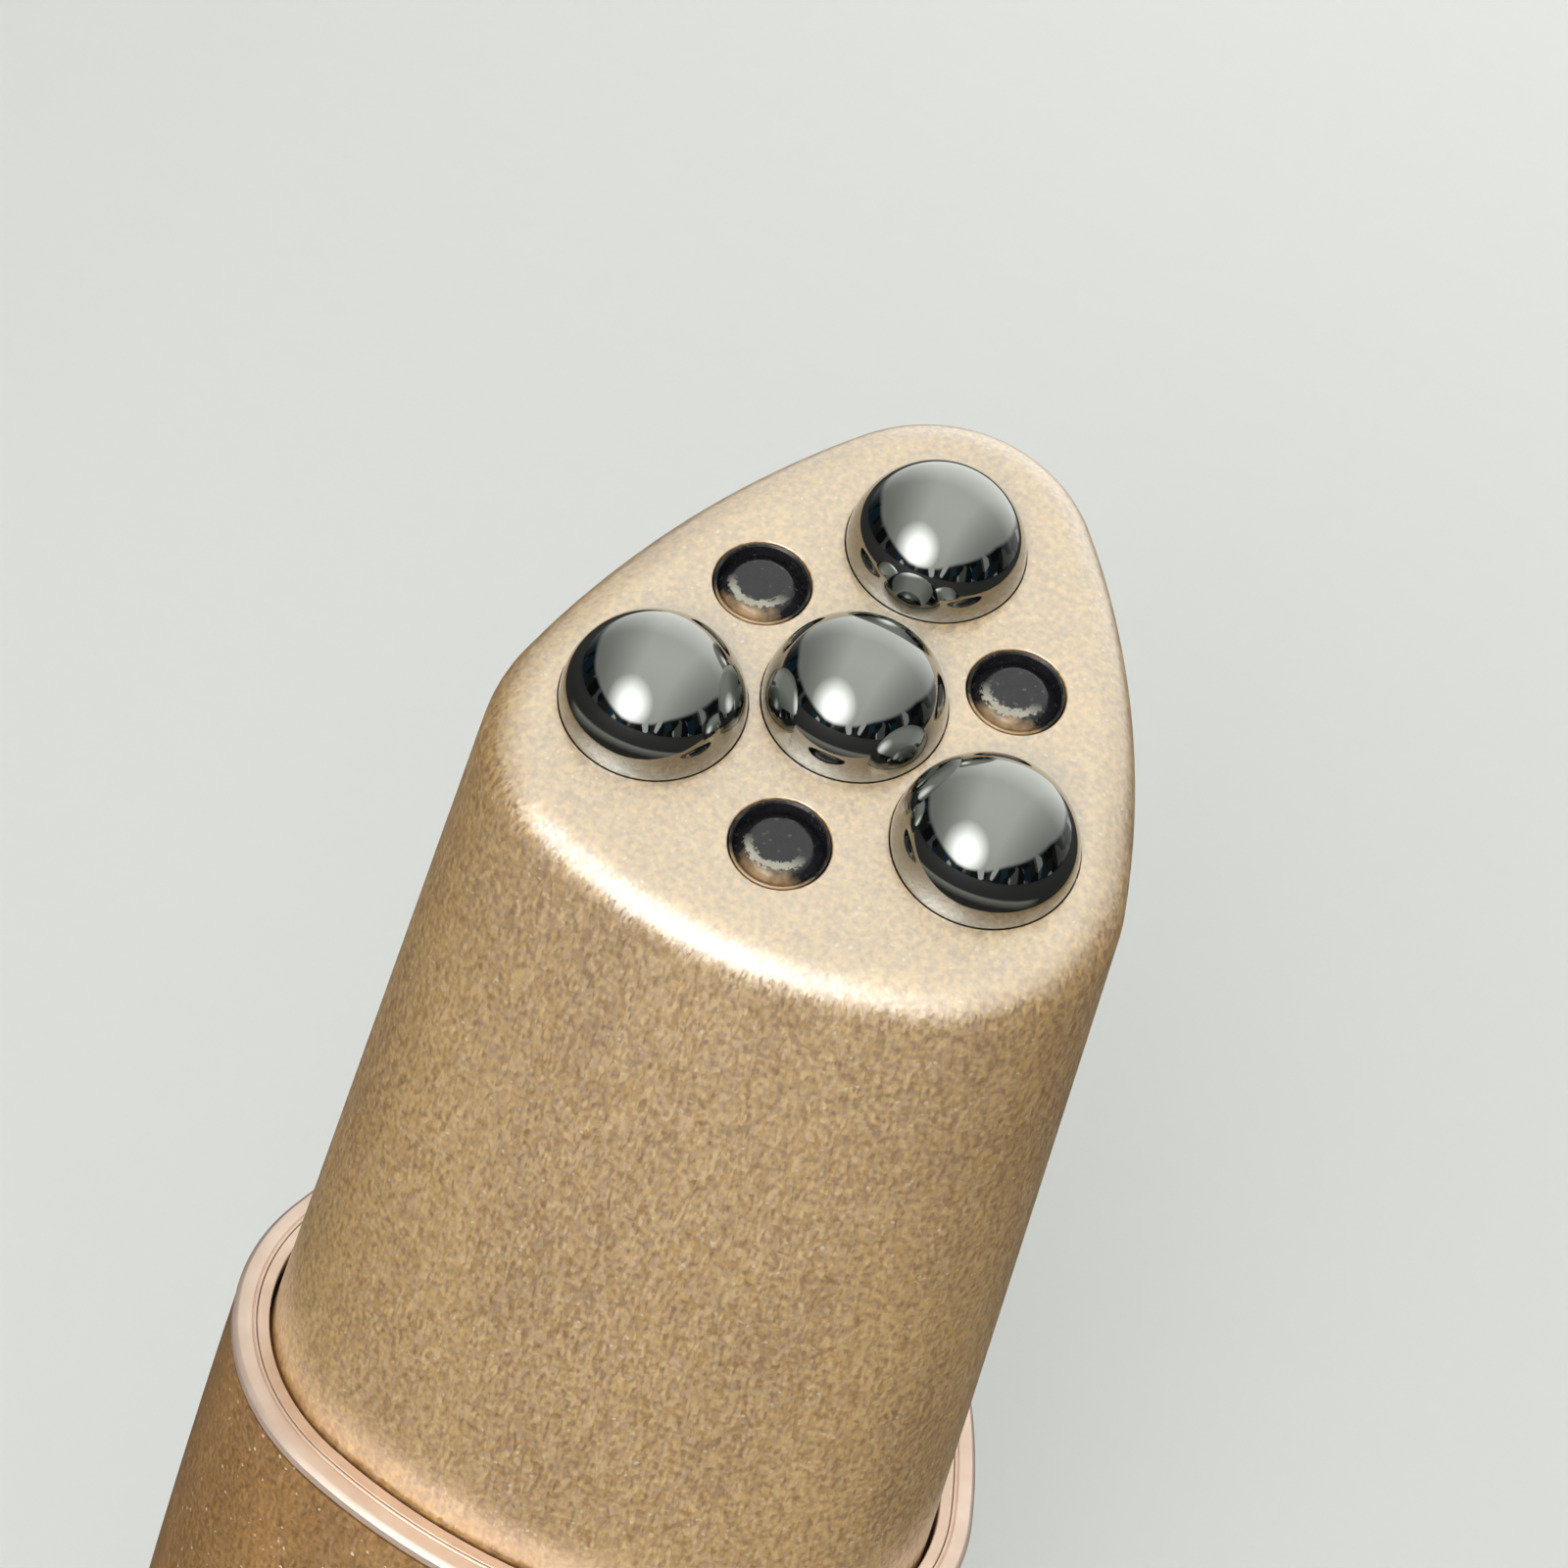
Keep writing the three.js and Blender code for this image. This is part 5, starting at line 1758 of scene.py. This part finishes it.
@dataclass
class Foot:
    """Rounded base cap with the charging inlet and its two screws."""

    handle: Handle = field(default_factory=Handle)
    thickness: float = 2.4
    edge: float = 1.2
    inlet: tuple[float, float] = (8.9, 3.3)
    inlet_wall: float = 0.3
    inlet_steps: int = 16
    clearance: float = 0.2
    mouth: float = 0.3
    shell_edges: tuple[float, float, float] = (0.12, 0.08, 0.2)
    tongue_chamfer: tuple[float, float] = (0.15, 0.2)
    pads: int = 12
    pad_pitch: float = 0.5
    pad_half: float = 0.13
    pad_proud: float = 0.02
    pad_span: tuple[float, float] = (0.35, 3.4)
    edge_steps: int = 12
    chamfer: float = 0.08
    foot_rings: int = 6
    well_flare: float = 0.2
    head_radius: float = 1.7
    head_height: float = 1.2
    head_curve: Profile = ((0.6, 0.0), (0.85, 0.12), (1.0, 0.4))
    pitch: float = 0.5
    thread_depth: float = 0.2
    tip: tuple[float, float] = (0.3, 0.5)
    recess_depth: float = 0.65
    recess_over: float = 0.5
    recess_arm: float = 0.62
    recess_half: float = 0.2
    screw_steps: int = 40

    def stadium(self, grow: float, z: float) -> Ring:
        """Outline with round ends, drawn round the inlet.

        Args:
            grow: how far it stands outside the inlet.
            z: its height.

        Returns:
            The outline.
        """
        middle_y = middle("usb_shell").y
        radius = self.inlet[1] / 2 + grow
        reach = (self.inlet[0] - self.inlet[1]) / 2
        ring = []
        for sign, start in ((1, -0.5), (-1, 0.5)):
            for step in range(self.inlet_steps + 1):
                turn = math.pi * (start + step / self.inlet_steps)
                place = (sign * reach + radius * math.cos(turn), middle_y + radius * math.sin(turn), z)
                ring.append(Vector(place))
        return ring

    def cap(self) -> None:
        """Build the base cap with its rounded foot, inlet and screw wells."""
        handle, section = self.handle, self.handle.section
        top = level("base_cap", top=True)
        spigot = handle.ring_inner - handle.slip
        foot = section.ring(handle.ring_outer - self.edge, 0)
        rings = [*reversed(closing(foot, self.foot_rings)), foot]
        walls = [(handle.ring_outer - inset, z) for z, inset in rounding(self.edge, self.edge_steps)[1:]]
        walls += [
            (handle.ring_outer, self.thickness - self.chamfer),
            (handle.ring_outer - self.chamfer, self.thickness),
            (spigot, self.thickness),
            (spigot, top),
        ]
        rings += [section.ring(radius, z) for radius, z in walls]
        rings += closing(rings[-1], self.foot_rings)
        gap, mouth, over = self.clearance, self.mouth, handle.overrun
        funnel = ((gap + mouth + over, -over), (gap + mouth, 0.0), (gap, mouth), (gap, top + over))
        inlet = Shape.skin([self.stadium(grow, z) for grow, z in funnel])
        well, shank = self.head_radius + handle.slip, handle.screw_radius + handle.slip
        flare = self.well_flare
        profile = [(0, -over), (well + flare + over, -over), (well + flare, 0), (well, flare),
                   (well, self.thickness), (shank, self.thickness), (shank, top + over), (0, top + over)]
        wells = []
        for side in Side:
            place = middle(f"base_screw_{side.value}")
            wells.append(Shape.turned(profile, self.screw_steps).shifted(place.x, place.y))
        made = Shape.skin(rings).combined(Shape.group(inlet, *wells), Blend.CUT)
        show(made, "painted_base", Wardrobe.paint, ["base_cap"])

    def screw(self, node: str) -> None:
        """Build a screw with a rounded head, a cross recess and a thread.

        Args:
            node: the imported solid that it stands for.
        """
        place = middle(node)
        low, high = span(node)
        radius, head = self.handle.screw_radius, self.head_radius
        root = radius - self.thread_depth
        tip_radius, tip_height = self.tip
        neck = low + self.head_height
        profile = [(0, low), *[(share * head, low + rise) for share, rise in self.head_curve]]
        profile += [(head, neck), (radius, neck)]
        z = neck + self.pitch
        while z + self.pitch < high - tip_height:
            profile += [(root, z), (radius, z + self.pitch / 2)]
            z += self.pitch
        profile += [(root, high - tip_height), (tip_radius, high), (0, high)]
        arm, half = self.recess_arm * head, self.recess_half
        plan = [(half, -arm), (half, -half), (arm, -half), (arm, half), (half, half), (half, arm),
                (-half, arm), (-half, half), (-arm, half), (-arm, -half), (-half, -half), (-half, -arm)]
        cross = Shape.upright(plan, low - self.recess_over, low + self.recess_depth)
        made = Shape.turned(profile, self.screw_steps).combined(cross, Blend.CUT).shifted(place.x, place.y)
        show(made, f"cross_{node}", Wardrobe.steel, [node])

    def socket(self) -> None:
        """Build the inlet's steel shell and its tongue with contact pads."""
        low, high = span("usb_shell")
        wall = self.inlet_wall
        inside, outside, back = self.shell_edges
        steps = ((-wall, high - wall), (-wall, low + inside), (-wall / 2, low), (0, low + outside),
                 (0, high - back), (-back, high))
        shell = Shape.skin([self.stadium(grow, z) for grow, z in steps])
        show(shell, "inlet_shell", Wardrobe.steel, ["usb_shell"])
        start, end = (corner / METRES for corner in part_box("usb_tongue"))
        chamfer, rise = self.tongue_chamfer
        rings = []
        for inset, z in ((chamfer, start.z), (0.0, start.z + rise), (0.0, end.z)):
            (x0, x1), (y0, y1) = (start.x + inset, end.x - inset), (start.y + inset, end.y - inset)
            rings.append([Vector((x, y, z)) for x, y in ((x0, y0), (x1, y0), (x1, y1), (x0, y1))])
        show(Shape.skin(rings), "inlet_tongue", Wardrobe.black, ["usb_tongue"])
        half, proud = self.pad_half, self.pad_proud
        low, high = (start.z + rise for rise in self.pad_span)
        pads = []
        for i in range(self.pads):
            x = (i - (self.pads - 1) / 2) * self.pad_pitch
            for y in (start.y, end.y):
                pads.append(Shape.block((x - half, y - proud, low), (x + half, y + proud, high)))
        show(Shape.group(*pads), "inlet_contacts", Wardrobe.brass, ["usb_tongue"])

    def build(self) -> None:
        """Build the base cap, the inlet and the long screws."""
        self.cap()
        self.socket()
        for side in Side:
            self.screw(f"base_screw_{side.value}")
            self.screw(f"head_screw_{side.value}")


@dataclass
class Innards:
    """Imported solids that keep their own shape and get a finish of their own."""

    def build(self) -> None:
        """Dress every solid that no piece stands for."""
        wear: dict[str, Finish] = {
            "electrode_clip": Wardrobe.steel,
            "contact_pin": Wardrobe.brass,
            "light_": Wardrobe.clear,
            "board_screw": Wardrobe.steel,
            "head_board": Wardrobe.board,
            "main_board": Wardrobe.board,
            "neck_gasket": Wardrobe.rubber,
            "motor_boot": Wardrobe.rubber,
            "battery": Wardrobe.wrap,
            "charger_chip": Wardrobe.black,
            "driver_chip": Wardrobe.black,
            "controller_chip": Wardrobe.black,
            "flex_strip": Wardrobe.film,
            "tact_switch": Wardrobe.black,
            "switch_plunger": Wardrobe.white,
            "motor_can": Wardrobe.steel,
            "motor_shaft": Wardrobe.steel,
            "eccentric_weight": Wardrobe.brass,
        }
        for name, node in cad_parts.items():
            finish = next((worn for start, worn in wear.items() if name.startswith(start)), None)
            if finish is not None and not node.hide_render:
                finish.dress(node)
                LOG.info("%s: dressed in %s", name, finish.name)


# Studio


@dataclass(frozen=True)
class Panel:
    """Round soft light panel, and where it hangs seen from the head, in metres."""

    name: str
    direction: tuple[float, float, float]
    glow: float
    distance: float = 20.0
    radius: float = 13.0
    falloff: float = 3.0


@dataclass(frozen=True)
class Card:
    """Dark card that keeps light off a flank, in metres."""

    name: str
    x: float
    colour: Colour
    y_span: tuple[float, float] = (-0.3, 0.4)
    z_span: tuple[float, float] = (0.08, 0.5)
    weave_shade: float = 0.8
    weave_grain: float = 5.0


@dataclass
class Studio:
    """Pale floor, soft light and the camera of the photograph, in metres."""

    floor_colour: Colour = linear(236, 238, 235)
    floor_shade: float = 0.985
    floor_grain: float = 6.0
    floor_radius: float = 2.0
    floor_steps: int = 96
    world_light: Colour = linear(196, 198, 195)
    world_seen: Colour = linear(221, 223, 220)
    head_z: float = 0.12
    panels: tuple[Panel, ...] = (
        Panel("key", (0.0, -0.9, 0.44), 22.0),
        Panel("fill", (0.3, 0.85, 0.45), 8.0),
    )
    cards: tuple[Card, ...] = (
        Card("left_flag", -0.28, (0.05, 0.045, 0.04)),
        Card("right_flag", 0.32, (0.03, 0.03, 0.03)),
    )
    tent_radius: float = 2.6
    tent_rings: int = 24
    tent_steps: int = 48
    overhead: tuple[Colour, Colour] = ((0.62, 0.64, 0.59), (0.84, 0.87, 0.8))
    back_wall: Colour = (1.25, 1.28, 1.22)
    clutter_grain: float = 300.0
    clutter_stretch: tuple[float, float, float] = (1, 1, 0.45)
    clutter_tones: tuple[tuple[float, Colour], ...] = (
        (0.0, (0.012, 0.016, 0.018)),
        (0.35, (0.02, 0.05, 0.075)),
        (0.6, (0.035, 0.035, 0.03)),
        (0.8, (0.16, 0.17, 0.16)),
        (0.93, (0.7, 0.72, 0.7)),
    )
    back_span: Span = (0.0, 1.0, 0.5, 0.95)
    flank_rise: Span = (0.0, 0.16, 0.3, 0.9)
    right_rise: Span = (0.1, 0.26, -0.1, 0.6)
    back_fall: Span = (0.0, 0.2, 0.2, 0.9)
    room_edge: Span = (1.0, 0.0, -0.02, 0.05)
    room_front: Span = (1.0, 0.7, 0.3, 0.6)
    window_fade: Span = (1.0, 0.0, 0.4, 1.6)
    flank_dim: Span = (1.0, 0.45, 0.35, 0.9)
    window: tuple[float, float, float] = (-0.25, -0.86, 0.4)
    window_size: tuple[float, float, float] = (0.3, 0.6, 0.3)
    window_glow: Colour = (3.4, 3.45, 3.35)
    felt_z: float = 0.0005
    felt_grain: float = 4.0
    felt_tones: tuple[Colour, Colour] = ((0.012, 0.012, 0.011), (0.03, 0.029, 0.027))
    felt_lit: Colour = (0.33, 0.32, 0.29)
    felt_inside: Span = (0.0, 1.0, 0.185, 0.26)
    felt_outside: Span = (1.0, 0.0, 0.27, 0.3)
    felt_back: Span = (1.0, 0.0, -0.07, 0.0)
    focal: float = 3178 / 1600
    sensor: float = 36.0
    clip: tuple[float, float] = (0.005, 50)
    camera_place: tuple[float, float, float] = (0.011885, -0.083685, 0.17457)
    camera_right: tuple[float, float, float] = (0.9084, 0.3295, 0.2572)
    camera_up: tuple[float, float, float] = (-0.3972, 0.4884, 0.7770)
    camera_back: tuple[float, float, float] = (0.1304, -0.8080, 0.5746)

    def disc(self, name: str, radius: float, z: float = 0.0, steps: int = 64) -> bpy.types.Object:
        """Make a level disc.

        Args:
            name: its name.
            radius: its radius.
            z: its height.
            steps: corners round its rim.

        Returns:
            The disc.
        """
        lift = Vector((0, 0, z / METRES))
        turns = [2 * math.pi * step / steps for step in range(steps)]
        rim = [Vector((math.cos(turn), math.sin(turn), 0)) * radius / METRES + lift for turn in turns]
        return Shape(rim, [range(steps)]).mesh_object(name)

    def stand(
        self, piece: bpy.types.Object, cloth: bpy.types.Material, unseen_by: Sequence[str] = ()
    ) -> None:
        """Put a dressed piece in the studio.

        Args:
            piece: the piece.
            cloth: what it wears.
            unseen_by: kinds of ray that pass it by.
        """
        piece.data.materials.append(cloth)
        for kind in unseen_by:
            setattr(piece, f"visible_{kind}", False)

    def floor(self) -> None:
        """Lay a plain pale floor."""
        sheet = Sheet("pale_floor")
        shade = tuple(self.floor_shade * part for part in self.floor_colour)
        paper = sheet.finish(
            Base_Color=sheet.blend(sheet.noise(self.floor_grain, detail=5), shade, self.floor_colour),
            Roughness=0.8,
            Specular_IOR_Level=0.2,
        )
        self.stand(self.disc("floor", self.floor_radius, steps=self.floor_steps), paper)

    def sky(self) -> None:
        """Light the room evenly."""
        world = bpy.data.worlds.new("room")
        world.use_nodes = True
        tree = world.node_tree
        light = tree.nodes["Background"]
        light.inputs["Strength"].default_value = 1.0
        paths = tree.nodes.new("ShaderNodeLightPath")
        tone = tree.nodes.new("ShaderNodeMix")
        tone.data_type = "RGBA"
        tone.inputs[6].default_value = (*self.world_light, 1)
        tone.inputs[7].default_value = (*self.world_seen, 1)
        tree.links.new(paths.outputs["Is Camera Ray"], tone.inputs["Factor"])
        tree.links.new(tone.outputs[2], light.inputs["Color"])
        bpy.context.scene.world = world

    def panel(self, lamp: Panel) -> None:
        """Hang a soft panel that faces the head and fades towards its rim.

        Args:
            lamp: the panel.
        """
        head = Vector((0, 0, self.head_z))
        made = self.disc(lamp.name, lamp.radius)
        made.location = head + Vector(lamp.direction).normalized() * lamp.distance
        made.rotation_euler = (head - made.location).to_track_quat("Z", "Y").to_euler()
        sheet = Sheet(f"{lamp.name}_glow")
        reach = sheet.vector("LENGTH", sheet.places, output="Value")
        silk = sheet.finish(
            Base_Color=(0.0, 0.0, 0.0), Specular_IOR_Level=0.0,
            Alpha=sheet.math("POWER", sheet.spread(reach, 1.0, 0.0, 0.0, lamp.radius), lamp.falloff),
            Emission_Color=(1.0, 1.0, 0.99), Emission_Strength=lamp.glow,
        )
        self.stand(made, silk, ("camera", "glossy", "shadow"))

    def card(self, flag: Card) -> None:
        """Stand a dark card beside the device.

        Args:
            flag: the card.
        """
        (near, far), (low, high) = flag.y_span, flag.z_span
        plan = ((near, low), (far, low), (far, high), (near, high))
        made = Shape([Vector((flag.x, y, z)) / METRES for y, z in plan], [range(4)]).mesh_object(flag.name)
        sheet = Sheet(f"{flag.name}_cloth")
        shade = tuple(flag.weave_shade * part for part in flag.colour)
        colour = sheet.blend(sheet.noise(flag.weave_grain, detail=3), shade, flag.colour)
        self.stand(made, sheet.finish(Base_Color=colour, Roughness=0.95), ("camera", "glossy"))

    def tent_wall(self) -> bpy.types.Object:
        """The tent's half sphere, open at the foot."""
        rings = []
        for step in range(self.tent_rings, 0, -1):
            rise = math.pi / 2 * step / self.tent_rings
            turns = [2 * math.pi * turn / self.tent_steps for turn in range(self.tent_steps)]
            rings.append([
                Vector((math.cos(turn) * math.sin(rise), math.sin(turn) * math.sin(rise), math.cos(rise)))
                * self.tent_radius / METRES
                for turn in turns
            ])
        wall = Shape.skin(rings)
        del wall.faces[-2]
        return wall.mesh_object("light_tent")

    def clutter(self, sheet: Sheet) -> Socket:
        """Upright patches of a dark, cluttered room.

        Args:
            sheet: the tent's node tree.

        Returns:
            Their colour.
        """
        upright = sheet.stretched(*self.clutter_stretch)
        patches = sheet.channels(sheet.cells(self.clutter_grain, upright))["Red"]
        ramp = sheet.node("ShaderNodeValToRGB", {"Fac": patches})
        ramp.color_ramp.interpolation = "CONSTANT"
        elements = ramp.color_ramp.elements
        first, *others, last = self.clutter_tones
        elements[0].color = (*first[1], 1)
        elements[1].position, elements[1].color = last[0], (*last[1], 1)
        for position, tone in others:
            elements.new(position).color = (*tone, 1)
        return ramp.outputs["Color"]

    def tent(self) -> None:
        """Put a light tent round the device, which shows only in what is glossy.

        It is grey overhead, pale behind, and dark and cluttered low down in front and at the right. A soft
        window hangs at the upper left.
        """
        sheet = Sheet("tent_silk")
        unit = sheet.vector("NORMALIZE", sheet.places)
        x, y, z = sheet.node("ShaderNodeSeparateXYZ", {0: unit}).outputs
        across = sheet.math("ABSOLUTE", x)
        overhead = sheet.blend(z, *self.overhead)
        silk = sheet.mixed(sheet.spread(y, *self.back_span), overhead, self.back_wall)
        rise = sheet.math("ADD", sheet.spread(across, *self.flank_rise), sheet.spread(x, *self.right_rise))
        limit = sheet.math("SUBTRACT", rise, sheet.spread(y, *self.back_fall))
        low = sheet.spread(sheet.math("SUBTRACT", z, limit), *self.room_edge)
        dark = sheet.math("MULTIPLY", low, sheet.spread(y, *self.room_front))
        room = sheet.mixed(dark, silk, self.clutter(sheet))
        off = sheet.vector("DIVIDE", sheet.vector("SUBTRACT", unit, self.window), self.window_size)
        away = sheet.vector("LENGTH", off, output="Value")
        bright = sheet.math("SUBTRACT", 1.0, dark)
        pane = sheet.math("MULTIPLY", sheet.spread(away, *self.window_fade), bright)
        cloth = sheet.finish(
            Base_Color=(0.0, 0.0, 0.0), Roughness=1.0, Specular_IOR_Level=0.0,
            Emission_Color=sheet.mixed(pane, room, self.window_glow),
            Emission_Strength=sheet.spread(across, *self.flank_dim),
        )
        self.stand(self.tent_wall(), cloth, ("camera", "diffuse", "shadow", "transmission"))

    def felt(self) -> None:
        """Lay felt round the foot, pale in a band before it, which shows only in what is glossy."""
        sheet = Sheet("grey_felt")
        reach = sheet.vector("LENGTH", sheet.places, output="Value")
        y = sheet.node("ShaderNodeSeparateXYZ", {0: sheet.places}).outputs["Y"]
        inside, outside = sheet.spread(reach, *self.felt_inside), sheet.spread(reach, *self.felt_outside)
        band = sheet.math("MULTIPLY", inside, outside)
        lit = sheet.math("MULTIPLY", band, sheet.spread(y, *self.felt_back))
        dark = sheet.blend(sheet.noise(self.felt_grain, detail=4), *self.felt_tones)
        cloth = sheet.finish(Base_Color=sheet.mixed(lit, dark, self.felt_lit), Roughness=0.95)
        made = self.disc("felt", self.tent_radius, self.felt_z)
        self.stand(made, cloth, ("camera", "diffuse", "shadow", "transmission"))

    def camera(self) -> None:
        """Set the camera up as the photograph has it."""
        data = bpy.data.cameras.new("camera")
        data.sensor_width = self.sensor
        data.lens = self.focal * self.sensor
        data.clip_start, data.clip_end = self.clip
        made = bpy.data.objects.new("camera", data)
        turn = Matrix((self.camera_right, self.camera_up, self.camera_back)).transposed().to_4x4()
        made.matrix_world = Matrix.Translation(self.camera_place) @ turn
        bpy.context.scene.collection.objects.link(made)
        bpy.context.scene.camera = made

    def build(self) -> None:
        """Set up the studio."""
        self.floor()
        self.sky()
        for lamp in self.panels:
            self.panel(lamp)
        for flag in self.cards:
            self.card(flag)
        self.tent()
        self.felt()
        self.camera()
        bpy.context.scene.view_settings.view_transform = "Standard"


def main() -> None:
    """Build, dress and light the device."""
    logging.basicConfig(level=logging.INFO, format="%(message)s")
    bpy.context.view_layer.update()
    for assembly in (Head(), Handle(), Controls(), Foot(), Innards(), Studio()):
        assembly.build()


if __name__ == "__main__":
    main()
